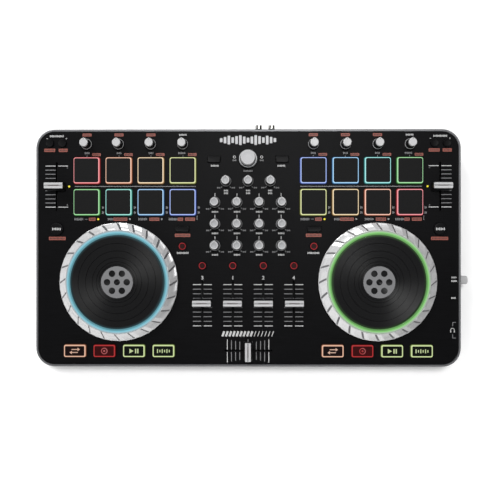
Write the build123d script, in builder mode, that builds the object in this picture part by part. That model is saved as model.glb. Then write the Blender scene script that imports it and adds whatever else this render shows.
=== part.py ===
from build123d import *
import os

os.makedirs("parts", exist_ok=True)

# Four-channel DJ controller. Millimetres, +X to the user's right, +Y to the rear, +Z up.
# The origin is the underside of the centre foot, on the surface that the controller stands on.

# ---- case ----
case_width = 543.0
case_depth = 303.5
case_corner = 24.0
wall = 2.6
foot_height = 3.0
foot_radius = 9.0
foot_inset = 36.0
floor_thickness = 2.5
tray_rim_top = 9.0
tray_edge_fillet = 2.0
panel_top = 34.0
panel_thickness = 2.0
panel_gap = 0.7
rim_fillet = 1.1
ledge_width = 6.0
ledge_thickness = 2.0
floor_top = foot_height + floor_thickness
panel_underside = panel_top - panel_thickness
panel_inset = wall + panel_gap
inner_x = case_width / 2 - wall
inner_y = case_depth / 2 - wall

# ---- screws and posts ----
boss_radius = 3.2
screw_radius = 1.25
screw_clearance_radius = 1.5
screw_head_radius = 2.8
screw_head_height = 1.5
drive_radius = 1.3
drive_depth = 0.8
case_screw_end = 20.0
board_screw_length = 9.0
low_screw_length = 5.0
low_pilot_depth = 4.0
post_radius = 3.0
boss_side_offset = 2.8
corner_boss_shift = 13.15
corner_boss_x = case_width / 2 - case_corner + corner_boss_shift
corner_boss_y = case_depth / 2 - case_corner + corner_boss_shift
case_screw_points = (
    (-corner_boss_x, corner_boss_y),
    (corner_boss_x, corner_boss_y),
    (-corner_boss_x, -corner_boss_y),
    (corner_boss_x, -corner_boss_y),
    (-110.0, inner_y - boss_side_offset),
    (110.0, inner_y - boss_side_offset),
    (-110.0, -inner_y + boss_side_offset),
    (110.0, -inner_y + boss_side_offset),
    (-inner_x + boss_side_offset, 8.0),
    (inner_x - boss_side_offset, 8.0),
)
main_post_points = (
    (-103.5, 115.0),
    (103.5, 115.0),
    (-185.0, 115.0),
    (185.0, 115.0),
    (-104.0, 14.0),
    (104.0, 14.0),
    (-224.0, 14.0),
    (224.0, 14.0),
    (-104.0, -112.0),
    (104.0, -112.0),
    (-224.0, -112.0),
    (224.0, -112.0),
    (0.0, 16.0),
    (0.0, -73.0),
)
low_post_points = (
    (241.0, -36.0),
    (241.0, -80.0),
    (241.0, -119.0),
    (-10.0, 135.0),
    (42.5, 129.0),
    (65.0, 129.0),
)

# ---- circuit boards ----
board_bottom = 18.0
board_thickness = 1.6
board_inset = 10.0
board_corner = 14.0
board_top = board_bottom + board_thickness
low_board_bottom = 11.0
low_board_top = low_board_bottom + board_thickness
board_notch_rear = (-20.0, 72.0, 123.0)
board_notch_right = (235.0, -125.0, -30.0)
rear_board = (-15.0, 70.0, 124.5, 146.0)
jack_board = (236.5, 262.0, -124.0, -31.0)

# ---- rotary controls ----
shaft_radius = 3.0
shaft_end_play = 0.3
shaft_bottom = 20.9
shaft_top = 45.0
bushing_bore_radius = 3.05
bushing_radius = 4.2
bushing_top = 30.0
pot_width = 9.6
pot_height = 6.5
pot_bore_bottom = shaft_bottom - shaft_end_play
shaft_hole_radius = 3.7
knob_bottom = 35.0
knob_skirt_radius = 6.65
knob_skirt_height = 2.4
knob_body_radius = 6.1
knob_body_taper = 2.0
knob_top = 50.5
knob_edge_fillet = 0.5
pointer_width = 1.0
pointer_length = 2.6
pointer_depth = 0.4
column_x = (83.3, 124.2, 165.1, 206.0)
fx_row_y = 132.4
gain_x = (-28.2, 0.0, 28.2)
gain_y = 85.2
eq_x = (-42.3, -14.1, 14.1, 42.3)
eq_y = (58.1, 30.6, 3.2)
channel_numbers = (3, 1, 2, 4)

# ---- browse control ----
browse_y = 113.6
browse_base_radius = 11.8
browse_base_height = 3.0
browse_top_radius = 9.3
browse_bottom = 35.5
browse_top = 49.5
browse_bore_top = 46.0
encoder_width = 13.0
encoder_bore_bottom = 19.9

# ---- linear faders ----
track_length = 76.0
track_width = 9.0
track_height = 7.4
track_wall = 1.0
track_inner_length = 72.0
track_slot_width = 2.4
fader_slot_length = 62.2
fader_slot_width = 2.4
carriage_length = 10.0
carriage_width = 6.0
carriage_bottom = 21.2
carriage_top = 24.8
lever_width = 4.0
lever_thickness = 1.2
lever_top = 44.0
fader_cap_bottom = 35.5
fader_cap_top = 48.0
fader_cap_span = 23.7
fader_cap_base = 11.6
fader_cap_crest = 7.7
fader_cap_lip = 2.0
fader_cap_dip = 0.7
pitch_fader_x = 244.9
pitch_fader_y = 78.6
channel_fader_x = (-58.35, -19.45, 19.45, 58.35)
channel_fader_y = -73.2
channel_cap_rest = 3.2
crossfader_y = -131.2

# ---- buttons and pads ----
hole_gap = 0.4
flange_margin = 1.4
flange_bottom = 29.6
flange_top = 31.6
stem_radius = 2.2
stem_bottom = 24.9
switch_width = 6.0
switch_height = 3.5
plunger_radius = 1.75
plunger_top = 23.9
pad_size = 34.4
pad_corner = 2.8
pad_shoulder = 34.4
pad_top = 37.9
pad_taper = 25.0
pad_rows_y = (98.9, 58.4)
key_length = 28.3
key_width = 16.2
key_corner = 2.4
key_top = 37.6
key_x = (107.7, 145.4, 183.1, 220.8)
key_y = -131.2
key_edge_chamfer = 0.8
button_top = 36.4
button_edge_chamfer = 0.5
chamfer_slope = 45.0
small_button_radius = 4.9
layer_button_radius = 8.0
pitch_bend_x = (237.3, 253.3)
pitch_bend_y = 133.7
layer_x = 244.5
layer_y = 24.2
load_length = 16.6
load_width = 8.3
load_corner = 1.5
load_x = 43.5
load_y = 113.2
shift_length = 17.9
shift_width = 7.0
shift_corner = 1.5
shift_x = 84.2
shift_y = 24.2
scratch_x = 83.8
scratch_y = 2.2
cue_x = (-58.35, -19.45, 19.45, 58.35)
cue_y = -22.6

# ---- jog wheels ----
jog_x = 164.6
jog_y = -43.1
jog_rim_radius = 75.2
jog_facets = 24
jog_facet_twist = -4.5
jog_bottom = 35.2
jog_rim_shoulder = 38.6
jog_rim_top = 45.0
jog_rim_inner_radius = 64.7
jog_rim_crest_radius = 66.2
jog_web_top = 38.0
jog_hub_radius = 8.0
jog_hub_bottom = 21.1
jog_hub_hole_radius = 9.2
jog_bore_radius = 4.05
jog_post_radius = 4.0
jog_post_top = 43.0
jog_collar_radius = 8.5
jog_collar_top = 21.0
jog_collar_flange_radius = 13.0
jog_board_hole_radius = 9.5
light_ring_inner_radius = 59.7
light_ring_outer_radius = 64.6
light_ring_top = 45.6
plate_radius = 59.3
plate_underside = 43.6
plate_top = 46.5
plate_skirt_inner_radius = 56.0
plate_boss_radius = 12.0
plate_boss_bore_radius = 5.0
plate_grooves = (49.0, 39.6, 31.2, 26.0, 22.7)
plate_groove_width = 0.5
plate_groove_depth = 0.3
spindle_recess_radius = 3.8
spindle_recess_depth = 1.2
encoder_disc_radius = 22.0
encoder_disc_bottom = 26.0
encoder_disc_thickness = 1.5
encoder_slots = 36
encoder_slot_radius = 19.5
encoder_slot_length = 3.0
encoder_slot_width = 1.4
sensor_offset = 18.0
sensor_height = 5.6

# ---- side and rear sockets ----
side_axis_z = 20.0
socket_face = case_width / 2 + 0.5
big_jack_y = (-64.0, -95.0)
big_jack_body = 14.0
big_jack_nose_radius = 5.2
big_jack_bore_radius = 3.2
big_jack_bore_depth = 20.0
small_jack_y = -115.5
small_jack_body = 10.0
small_jack_nose_radius = 3.6
small_jack_bore_radius = 1.8
small_jack_bore_depth = 14.0
jack_body_start = 247.0
jack_body_top = 27.0
socket_hole_gap = 0.4
mic_knob_y = -41.5
mic_knob_radius = 6.0
mic_knob_start = 272.3
mic_knob_end = 283.6
mic_pot_start = 250.0
mic_pot_end = 262.0
mic_bushing_end = 268.0
mic_shaft_start = 251.0
mic_shaft_end = 279.1
rca_x = (13.8, 30.5)
rca_z = 20.0
rca_radius = 4.15
rca_collar_radius = 4.35
rca_collar_reach = 0.4
rca_bore_radius = 1.75
rca_bore_depth = 9.0
rca_reach = 7.4
rca_body_width = 10.0
rca_body_start = 133.0
rca_body_top = 26.0
usb_x = 55.0
usb_width = 12.0
usb_top = 24.6
usb_z = (low_board_top + usb_top) / 2
usb_start = 136.0
usb_mouth_width = 8.5
usb_mouth_height = 7.8
usb_mouth_depth = 9.0
usb_tongue_length = 4.4
usb_tongue_width = 5.6
usb_tongue_height = 3.2


def save(piece, label):
    """Label a finished piece and write it as one STEP file."""
    piece.label = label
    export_step(piece, f"parts/{label}.step")


def side_plane(x, y, z):
    """A plane at the right side, facing +X, with its own x axis along +Y."""
    return Plane(origin=(x, y, z), x_dir=(0, 1, 0), z_dir=(1, 0, 0))


def rear_plane(x, y, z):
    """A plane at the rear, facing +Y, with its own x axis along +X."""
    return Plane(origin=(x, y, z), x_dir=(-1, 0, 0), z_dir=(0, 1, 0))


# Layout of every button: position, then its outline as (length, width, corner) or a radius.
deck_sides = {"left": -1, "right": 1}
pad_points = {
    side: [(sign * x, y) for y in pad_rows_y for x in column_x]
    for side, sign in deck_sides.items()
}
key_points = {side: [(sign * x, key_y) for x in key_x] for side, sign in deck_sides.items()}
pitch_bend_points = [(sign * x, pitch_bend_y) for sign in (-1, 1) for x in pitch_bend_x]
layer_points = [(sign * layer_x, layer_y) for sign in (-1, 1)]
load_points = [(sign * load_x, load_y) for sign in (-1, 1)]
shift_points = [(sign * shift_x, shift_y) for sign in (-1, 1)]
cue_points = [(x, cue_y) for x in cue_x]
scratch_points = [(sign * scratch_x, scratch_y) for sign in (-1, 1)]
fx_points = [(sign * x, fx_row_y) for sign in (-1, 1) for x in column_x]
gain_points = [(x, gain_y) for x in gain_x]
eq_points = [(x, y) for y in eq_y for x in eq_x]
jog_points = [(-jog_x, jog_y), (jog_x, jog_y)]
all_button_points = (
    pad_points["left"]
    + pad_points["right"]
    + key_points["left"]
    + key_points["right"]
    + pitch_bend_points
    + layer_points
    + load_points
    + shift_points
    + cue_points
    + scratch_points
)
small_round_points = pitch_bend_points + cue_points + scratch_points
upright_fader_points = [
    (-pitch_fader_x, pitch_fader_y),
    (pitch_fader_x, pitch_fader_y),
    *[(x, channel_fader_y) for x in channel_fader_x],
]

# ---- base tray: floor, low wall, screw bosses and board posts ----
with BuildPart() as base_tray:
    with BuildSketch(Plane.XY.offset(foot_height)):
        RectangleRounded(case_width, case_depth, case_corner)
    extrude(amount=tray_rim_top - foot_height)
    bottom_edges = base_tray.faces().sort_by(Axis.Z)[0].outer_wire().edges()
    fillet(bottom_edges, tray_edge_fillet)
    with BuildSketch(Plane.XY.offset(floor_top)):
        RectangleRounded(case_width - 2 * wall, case_depth - 2 * wall, case_corner - wall)
    extrude(amount=tray_rim_top - floor_top, mode=Mode.SUBTRACT)
    with BuildSketch(Plane.XY.offset(floor_top)):
        with Locations(*case_screw_points):
            Circle(boss_radius)
    extrude(amount=tray_rim_top - floor_top)
    with BuildSketch(Plane.XY.offset(floor_top)):
        with Locations(*main_post_points):
            Circle(post_radius)
    extrude(amount=board_bottom - floor_top)
    with BuildSketch(Plane.XY.offset(floor_top)):
        with Locations(*low_post_points):
            Circle(post_radius)
    extrude(amount=low_board_bottom - floor_top)
    # Clearance holes with counterbores for the case screws, from below.
    with BuildSketch(Plane.XY.offset(foot_height)):
        with Locations(*case_screw_points):
            Circle(screw_clearance_radius)
    extrude(amount=tray_rim_top - foot_height, mode=Mode.SUBTRACT)
    with BuildSketch(Plane.XY.offset(foot_height)):
        with Locations(*case_screw_points):
            Circle(screw_head_radius + hole_gap)
    extrude(amount=screw_head_height + hole_gap, mode=Mode.SUBTRACT)
    # Pilot holes in the posts.
    with BuildSketch(Plane.XY.offset(board_bottom)):
        with Locations(*main_post_points):
            Circle(screw_radius)
    extrude(amount=-board_screw_length, mode=Mode.SUBTRACT)
    with BuildSketch(Plane.XY.offset(low_board_bottom)):
        with Locations(*low_post_points):
            Circle(screw_radius)
    extrude(amount=-low_pilot_depth, mode=Mode.SUBTRACT)
save(base_tray.part, "base_tray")

# ---- side frame: outer wall, ledge for the panel, bosses and socket holes ----
with BuildPart() as side_frame:
    with BuildSketch(Plane.XY.offset(tray_rim_top)):
        RectangleRounded(case_width, case_depth, case_corner)
        RectangleRounded(
            case_width - 2 * wall, case_depth - 2 * wall, case_corner - wall, mode=Mode.SUBTRACT
        )
    extrude(amount=panel_top - tray_rim_top)
    rim_edges = side_frame.faces().sort_by(Axis.Z)[-1].outer_wire().edges()
    fillet(rim_edges, rim_fillet)
    with BuildSketch(Plane.XY.offset(panel_underside)):
        RectangleRounded(case_width - wall, case_depth - wall, case_corner - wall / 2)
        RectangleRounded(
            case_width - 2 * (wall + ledge_width),
            case_depth - 2 * (wall + ledge_width),
            case_corner - wall - ledge_width,
            mode=Mode.SUBTRACT,
        )
    extrude(amount=-ledge_thickness)
    with BuildSketch(Plane.XY.offset(tray_rim_top)):
        with Locations(*case_screw_points):
            Circle(boss_radius)
    extrude(amount=panel_underside - tray_rim_top)
    with BuildSketch(Plane.XY.offset(tray_rim_top)):
        with Locations(*case_screw_points):
            Circle(screw_radius)
    extrude(amount=case_screw_end - tray_rim_top, mode=Mode.SUBTRACT)
    with BuildSketch(side_plane(inner_x - wall, 0, side_axis_z)):
        with Locations(*[(y, 0) for y in big_jack_y]):
            Circle(big_jack_nose_radius + socket_hole_gap)
        with Locations((small_jack_y, 0)):
            Circle(small_jack_nose_radius + socket_hole_gap)
        with Locations((mic_knob_y, 0)):
            Circle(shaft_hole_radius)
    extrude(amount=3 * wall, mode=Mode.SUBTRACT)
    with BuildSketch(rear_plane(0, inner_y - wall, rca_z)):
        with Locations(*[(-x, 0) for x in rca_x]):
            Circle(rca_radius + socket_hole_gap)
        with Locations((-usb_x, usb_z - rca_z)):
            Rectangle(
                usb_width + 2 * socket_hole_gap, usb_top - low_board_top + 2 * socket_hole_gap
            )
    extrude(amount=3 * wall, mode=Mode.SUBTRACT)
save(side_frame.part, "side_frame")

# ---- top panel with every opening ----
with BuildPart() as top_panel:
    with BuildSketch(Plane.XY.offset(panel_underside)):
        RectangleRounded(
            case_width - 2 * panel_inset, case_depth - 2 * panel_inset, case_corner - panel_inset
        )
        with Locations(*fx_points, *gain_points, *eq_points, (0, browse_y)):
            Circle(shaft_hole_radius, mode=Mode.SUBTRACT)
        with Locations(*jog_points):
            Circle(jog_hub_hole_radius, mode=Mode.SUBTRACT)
        with Locations(*pad_points["left"], *pad_points["right"]):
            RectangleRounded(
                pad_size + 2 * hole_gap,
                pad_size + 2 * hole_gap,
                pad_corner + hole_gap,
                mode=Mode.SUBTRACT,
            )
        with Locations(*key_points["left"], *key_points["right"]):
            RectangleRounded(
                key_length + 2 * hole_gap,
                key_width + 2 * hole_gap,
                key_corner + hole_gap,
                mode=Mode.SUBTRACT,
            )
        with Locations(*small_round_points):
            Circle(small_button_radius + hole_gap, mode=Mode.SUBTRACT)
        with Locations(*layer_points):
            Circle(layer_button_radius + hole_gap, mode=Mode.SUBTRACT)
        with Locations(*load_points):
            RectangleRounded(
                load_length + 2 * hole_gap,
                load_width + 2 * hole_gap,
                load_corner + hole_gap,
                mode=Mode.SUBTRACT,
            )
        with Locations(*shift_points):
            RectangleRounded(
                shift_length + 2 * hole_gap,
                shift_width + 2 * hole_gap,
                shift_corner + hole_gap,
                mode=Mode.SUBTRACT,
            )
        with Locations(*upright_fader_points):
            Rectangle(fader_slot_width, fader_slot_length, mode=Mode.SUBTRACT)
        with Locations((0, crossfader_y)):
            Rectangle(fader_slot_length, fader_slot_width, mode=Mode.SUBTRACT)
    extrude(amount=panel_thickness)
save(top_panel.part, "top_panel")

# ---- rubber feet: four near the corners and one in the centre ----
foot_x = case_width / 2 - foot_inset
foot_y = case_depth / 2 - foot_inset
with BuildPart() as rubber_feet:
    with BuildSketch(Plane.XY):
        with Locations((0, 0), (-foot_x, -foot_y), (foot_x, -foot_y), (-foot_x, foot_y), (foot_x, foot_y)):
            Circle(foot_radius)
    extrude(amount=foot_height)
save(rubber_feet.part, "rubber_feet")

# ---- screws: ten through the tray into the frame, the rest hold the boards on their posts ----
case_head_top = foot_height + screw_head_height + hole_gap
case_head_bottom = foot_height + hole_gap
with BuildPart() as assembly_screws:
    with BuildSketch(Plane.XY.offset(case_head_bottom)):
        with Locations(*case_screw_points):
            Circle(screw_head_radius)
            RegularPolygon(drive_radius, 6, mode=Mode.SUBTRACT)
    extrude(amount=drive_depth)
    with BuildSketch(Plane.XY.offset(case_head_bottom + drive_depth)):
        with Locations(*case_screw_points):
            Circle(screw_head_radius)
    extrude(amount=screw_head_height - drive_depth)
    with BuildSketch(Plane.XY.offset(case_head_top)):
        with Locations(*case_screw_points):
            Circle(screw_radius)
    extrude(amount=case_screw_end - case_head_top)
    for top, points in ((board_top, main_post_points), (low_board_top, low_post_points)):
        with BuildSketch(Plane.XY.offset(top)):
            with Locations(*points):
                Circle(screw_head_radius)
        extrude(amount=screw_head_height)
        with BuildSketch(Plane.XY.offset(top + screw_head_height)):
            with Locations(*points):
                RegularPolygon(drive_radius, 6)
        extrude(amount=-drive_depth, mode=Mode.SUBTRACT)
    with BuildSketch(Plane.XY.offset(board_top)):
        with Locations(*main_post_points):
            Circle(screw_radius)
    extrude(amount=-board_screw_length)
    with BuildSketch(Plane.XY.offset(low_board_top)):
        with Locations(*low_post_points):
            Circle(screw_radius)
    extrude(amount=-low_screw_length)
save(assembly_screws.part, "assembly_screws")

# ---- circuit boards: the main board, a jack board at the right and a connector board behind ----
notch_x0, notch_x1, notch_y0 = board_notch_rear
side_notch_x0, side_notch_y0, side_notch_y1 = board_notch_right
board_length = case_width - 2 * board_inset
board_depth = case_depth - 2 * board_inset
with BuildPart() as circuit_boards:
    with BuildSketch(Plane.XY.offset(board_bottom)):
        RectangleRounded(board_length, board_depth, board_corner)
        with Locations((notch_x0, notch_y0)):
            Rectangle(
                notch_x1 - notch_x0, board_depth, align=(Align.MIN, Align.MIN), mode=Mode.SUBTRACT
            )
        with Locations((side_notch_x0, side_notch_y0)):
            Rectangle(
                board_length,
                side_notch_y1 - side_notch_y0,
                align=(Align.MIN, Align.MIN),
                mode=Mode.SUBTRACT,
            )
        with Locations(*jog_points):
            Circle(jog_board_hole_radius, mode=Mode.SUBTRACT)
        with Locations(*main_post_points):
            Circle(screw_clearance_radius, mode=Mode.SUBTRACT)
    extrude(amount=board_thickness)
    with BuildSketch(Plane.XY.offset(low_board_bottom)):
        for x0, x1, y0, y1 in (rear_board, jack_board):
            with Locations(((x0 + x1) / 2, (y0 + y1) / 2)):
                Rectangle(x1 - x0, y1 - y0)
        with Locations(*low_post_points):
            Circle(screw_clearance_radius, mode=Mode.SUBTRACT)
    extrude(amount=board_thickness)
save(circuit_boards.part, "circuit_boards")

# ---- potentiometer and encoder bodies with their bushings ----
with BuildPart() as pot_housings:
    with BuildSketch(Plane.XY.offset(board_top)):
        with Locations(*fx_points, *gain_points, *eq_points):
            Rectangle(pot_width, pot_width)
        with Locations((0, browse_y)):
            Rectangle(encoder_width, encoder_width)
    extrude(amount=pot_height)
    with BuildSketch(Plane.XY.offset(board_top + pot_height)):
        with Locations(*fx_points, *gain_points, *eq_points, (0, browse_y)):
            Circle(bushing_radius)
    extrude(amount=bushing_top - board_top - pot_height)
    with BuildSketch(Plane.XY.offset(pot_bore_bottom)):
        with Locations(*fx_points, *gain_points, *eq_points):
            Circle(bushing_bore_radius)
    extrude(amount=bushing_top - pot_bore_bottom, mode=Mode.SUBTRACT)
    with BuildSketch(Plane.XY.offset(encoder_bore_bottom)):
        with Locations((0, browse_y)):
            Circle(bushing_bore_radius)
    extrude(amount=bushing_top - encoder_bore_bottom, mode=Mode.SUBTRACT)
    # Optical sensor under each jog encoder disc.
    with BuildSketch(Plane.XY.offset(board_top)):
        with Locations(*[(x, y + sensor_offset) for x, y in jog_points]):
            Rectangle(encoder_width, switch_width)
    extrude(amount=sensor_height)
    # Microphone level pot, lying on its side on the jack board.
    with BuildSketch(side_plane(mic_pot_start, mic_knob_y, 0)):
        with Locations((0, (low_board_top + jack_body_top) / 2)):
            Rectangle(pot_width, jack_body_top - low_board_top)
    extrude(amount=mic_pot_end - mic_pot_start)
    with BuildSketch(side_plane(mic_pot_end, mic_knob_y, side_axis_z)):
        Circle(bushing_radius)
    extrude(amount=mic_bushing_end - mic_pot_end)
    with BuildSketch(side_plane(mic_bushing_end, mic_knob_y, side_axis_z)):
        Circle(bushing_bore_radius)
    extrude(amount=mic_shaft_start - shaft_end_play - mic_bushing_end, mode=Mode.SUBTRACT)
save(pot_housings.part, "pot_housings")

# ---- slide potentiometer housings, hollow, with a slot on top for the lever ----
track_roof = board_top + track_height
with BuildPart() as fader_tracks:
    with BuildSketch(Plane.XY.offset(board_top)):
        with Locations(*upright_fader_points):
            Rectangle(track_width, track_length)
        with Locations((0, crossfader_y)):
            Rectangle(track_length, track_width)
    extrude(amount=track_height)
    with BuildSketch(Plane.XY.offset(board_top + track_wall)):
        with Locations(*upright_fader_points):
            Rectangle(track_width - 2 * track_wall, track_inner_length)
        with Locations((0, crossfader_y)):
            Rectangle(track_inner_length, track_width - 2 * track_wall)
    extrude(amount=track_height - 2 * track_wall, mode=Mode.SUBTRACT)
    with BuildSketch(Plane.XY.offset(track_roof)):
        with Locations(*upright_fader_points):
            Rectangle(track_slot_width, fader_slot_length)
        with Locations((0, crossfader_y)):
            Rectangle(fader_slot_length, track_slot_width)
    extrude(amount=-track_wall, mode=Mode.SUBTRACT)
save(fader_tracks.part, "fader_tracks")

# ---- tact switches, one under each button, key and pad ----
with BuildPart() as tact_switches:
    with BuildSketch(Plane.XY.offset(board_top)):
        with Locations(*all_button_points):
            Rectangle(switch_width, switch_width)
    extrude(amount=switch_height)
    with BuildSketch(Plane.XY.offset(board_top + switch_height)):
        with Locations(*all_button_points):
            Circle(plunger_radius)
    extrude(amount=plunger_top - board_top - switch_height)
save(tact_switches.part, "tact_switches")

# ---- fixed spindle post of each jog wheel ----
with BuildPart() as jog_posts:
    for top, radius in (
        (floor_top + floor_thickness, jog_collar_flange_radius),
        (jog_collar_top, jog_collar_radius),
        (jog_post_top, jog_post_radius),
    ):
        with BuildSketch(Plane.XY.offset(floor_top)):
            with Locations(*jog_points):
                Circle(radius)
        extrude(amount=top - floor_top)
save(jog_posts.part, "jog_posts")

# ---- RCA output pair at the rear ----
with BuildPart() as rca_outputs:
    with BuildSketch(Plane.XY.offset(low_board_top)):
        with Locations(*[(x, (rca_body_start + inner_y) / 2) for x in rca_x]):
            Rectangle(rca_body_width, inner_y - rca_body_start)
    extrude(amount=rca_body_top - low_board_top)
    with BuildSketch(rear_plane(0, inner_y, rca_z)):
        with Locations(*[(-x, 0) for x in rca_x]):
            Circle(rca_collar_radius)
    extrude(amount=wall + rca_collar_reach)
    with BuildSketch(rear_plane(0, inner_y + wall + rca_collar_reach, rca_z)):
        with Locations(*[(-x, 0) for x in rca_x]):
            Circle(rca_radius)
    extrude(amount=rca_reach - rca_collar_reach)
    with BuildSketch(rear_plane(0, inner_y + wall + rca_reach, rca_z)):
        with Locations(*[(-x, 0) for x in rca_x]):
            Circle(rca_bore_radius)
    extrude(amount=-rca_bore_depth, mode=Mode.SUBTRACT)
save(rca_outputs.part, "rca_outputs")

# ---- USB socket, its mouth flush with the rear face ----
with BuildPart() as usb_socket:
    with BuildSketch(rear_plane(usb_x, usb_start, usb_z)):
        Rectangle(usb_width, usb_top - low_board_top)
    extrude(amount=case_depth / 2 - usb_start)
    with BuildSketch(rear_plane(usb_x, case_depth / 2, usb_z)):
        Rectangle(usb_mouth_width, usb_mouth_height)
    extrude(amount=-usb_mouth_depth, mode=Mode.SUBTRACT)
    with BuildSketch(rear_plane(usb_x, case_depth / 2 - usb_mouth_depth, usb_z)):
        Rectangle(usb_tongue_width, usb_tongue_height)
    extrude(amount=usb_tongue_length)
save(usb_socket.part, "usb_socket")

# ---- microphone and headphone jacks at the right ----
jack_body_height = jack_body_top - low_board_top
jack_body_z = (jack_body_top + low_board_top) / 2 - side_axis_z
with BuildPart() as jack_sockets:
    with BuildSketch(side_plane(jack_body_start, 0, side_axis_z)):
        with Locations(*[(y, jack_body_z) for y in big_jack_y]):
            Rectangle(big_jack_body, jack_body_height)
        with Locations((small_jack_y, jack_body_z)):
            Rectangle(small_jack_body, jack_body_height)
    extrude(amount=inner_x - jack_body_start)
    with BuildSketch(side_plane(inner_x, 0, side_axis_z)):
        with Locations(*[(y, 0) for y in big_jack_y]):
            Circle(big_jack_nose_radius)
        with Locations((small_jack_y, 0)):
            Circle(small_jack_nose_radius)
    extrude(amount=socket_face - inner_x)
    with BuildSketch(side_plane(socket_face, 0, side_axis_z)):
        with Locations(*[(y, 0) for y in big_jack_y]):
            Circle(big_jack_bore_radius)
    extrude(amount=-big_jack_bore_depth, mode=Mode.SUBTRACT)
    with BuildSketch(side_plane(socket_face, small_jack_y, side_axis_z)):
        Circle(small_jack_bore_radius)
    extrude(amount=-small_jack_bore_depth, mode=Mode.SUBTRACT)
save(jack_sockets.part, "jack_sockets")

# ---- jog wheels: rim with slanted facets and hub, encoder disc, light ring and top plate ----
for side, sign in deck_sides.items():
    centre = (sign * jog_x, jog_y, 0)
    jog_plane = Plane(centre)
    with BuildPart() as wheel:
        with BuildSketch(jog_plane.offset(jog_bottom)):
            Circle(jog_rim_radius)
        extrude(amount=jog_rim_shoulder - jog_bottom)
        with BuildSketch(jog_plane.offset(jog_rim_shoulder)):
            RegularPolygon(jog_rim_radius, jog_facets)
        with BuildSketch(jog_plane.offset(jog_rim_top)):
            RegularPolygon(jog_rim_crest_radius, jog_facets, rotation=jog_facet_twist)
        loft(ruled=True)
        with BuildSketch(jog_plane.offset(jog_web_top)):
            Circle(jog_rim_inner_radius)
        extrude(amount=jog_rim_top - jog_web_top, mode=Mode.SUBTRACT)
        with BuildSketch(jog_plane.offset(jog_hub_bottom)):
            Circle(jog_hub_radius)
        extrude(amount=jog_web_top - jog_hub_bottom)
        with BuildSketch(jog_plane.offset(jog_hub_bottom)):
            Circle(jog_bore_radius)
        extrude(amount=jog_web_top - jog_hub_bottom, mode=Mode.SUBTRACT)
    wheel.part.label = "wheel"
    with BuildPart() as encoder_disc:
        with BuildSketch(jog_plane.offset(encoder_disc_bottom)):
            Circle(encoder_disc_radius)
            Circle(jog_hub_radius, mode=Mode.SUBTRACT)
            with PolarLocations(encoder_slot_radius, encoder_slots):
                Rectangle(encoder_slot_length, encoder_slot_width, mode=Mode.SUBTRACT)
        extrude(amount=encoder_disc_thickness)
    encoder_disc.part.label = "encoder_disc"
    save(Compound(children=[wheel.part, encoder_disc.part]), f"{side}_jog_wheel")

    with BuildPart() as light_ring:
        with BuildSketch(jog_plane.offset(jog_web_top)):
            Circle(light_ring_outer_radius)
            Circle(light_ring_inner_radius, mode=Mode.SUBTRACT)
        extrude(amount=light_ring_top - jog_web_top)
    save(light_ring.part, f"{side}_jog_light_ring")

    with BuildPart() as plate:
        with BuildSketch(jog_plane.offset(jog_web_top)):
            Circle(plate_radius)
        extrude(amount=plate_top - jog_web_top)
        with BuildSketch(jog_plane.offset(jog_web_top)):
            Circle(plate_skirt_inner_radius)
            Circle(plate_boss_radius, mode=Mode.SUBTRACT)
        extrude(amount=plate_underside - jog_web_top, mode=Mode.SUBTRACT)
        with BuildSketch(jog_plane.offset(jog_web_top)):
            Circle(plate_boss_bore_radius)
        extrude(amount=plate_underside - jog_web_top, mode=Mode.SUBTRACT)
        with BuildSketch(jog_plane.offset(plate_top)):
            for groove in plate_grooves:
                Circle(groove)
                Circle(groove - plate_groove_width, mode=Mode.SUBTRACT)
        extrude(amount=-plate_groove_depth, mode=Mode.SUBTRACT)
        with BuildSketch(jog_plane.offset(plate_top)):
            Circle(spindle_recess_radius)
        extrude(amount=-spindle_recess_depth, mode=Mode.SUBTRACT)
    save(plate.part, f"{side}_jog_plate")


def make_knob(label, x, y):
    """A pot knob: a steel shaft and a tapered cap with a skirt and a pointer groove."""
    knob_plane = Plane((x, y, 0))
    with BuildPart() as shaft:
        with BuildSketch(knob_plane.offset(shaft_bottom)):
            Circle(shaft_radius)
        extrude(amount=shaft_top - shaft_bottom)
    shaft.part.label = "shaft"
    with BuildPart() as cap:
        with BuildSketch(knob_plane.offset(knob_bottom)):
            Circle(knob_body_radius)
        extrude(amount=knob_top - knob_bottom, taper=knob_body_taper)
        fillet(cap.faces().sort_by(Axis.Z)[-1].edges(), knob_edge_fillet)
        with BuildSketch(knob_plane.offset(knob_bottom)):
            Circle(knob_skirt_radius)
        extrude(amount=knob_skirt_height)
        with BuildSketch(knob_plane.offset(knob_bottom)):
            Circle(shaft_radius)
        extrude(amount=shaft_top - knob_bottom, mode=Mode.SUBTRACT)
        with BuildSketch(knob_plane.offset(knob_top)):
            with Locations((0, knob_body_radius - pointer_length / 2)):
                Rectangle(pointer_width, pointer_length)
        extrude(amount=-pointer_depth, mode=Mode.SUBTRACT)
    cap.part.label = "cap"
    save(Compound(children=[cap.part, shaft.part]), label)


# ---- knobs: FX and filter row, gain row, then three EQ rows over four channels ----
for side, sign in deck_sides.items():
    ordered = sorted(sign * x for x in column_x)
    for number, x in enumerate(ordered, start=1):
        make_knob(f"{side}_fx_knob_{number}", x, fx_row_y)
for name, x in zip(("left", "middle", "right"), gain_x):
    make_knob(f"gain_knob_{name}", x, gain_y)
for band, y in zip(("high", "mid", "low"), eq_y):
    for channel, x in zip(channel_numbers, eq_x):
        make_knob(f"eq_{band}_knob_channel_{channel}", x, y)

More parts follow.
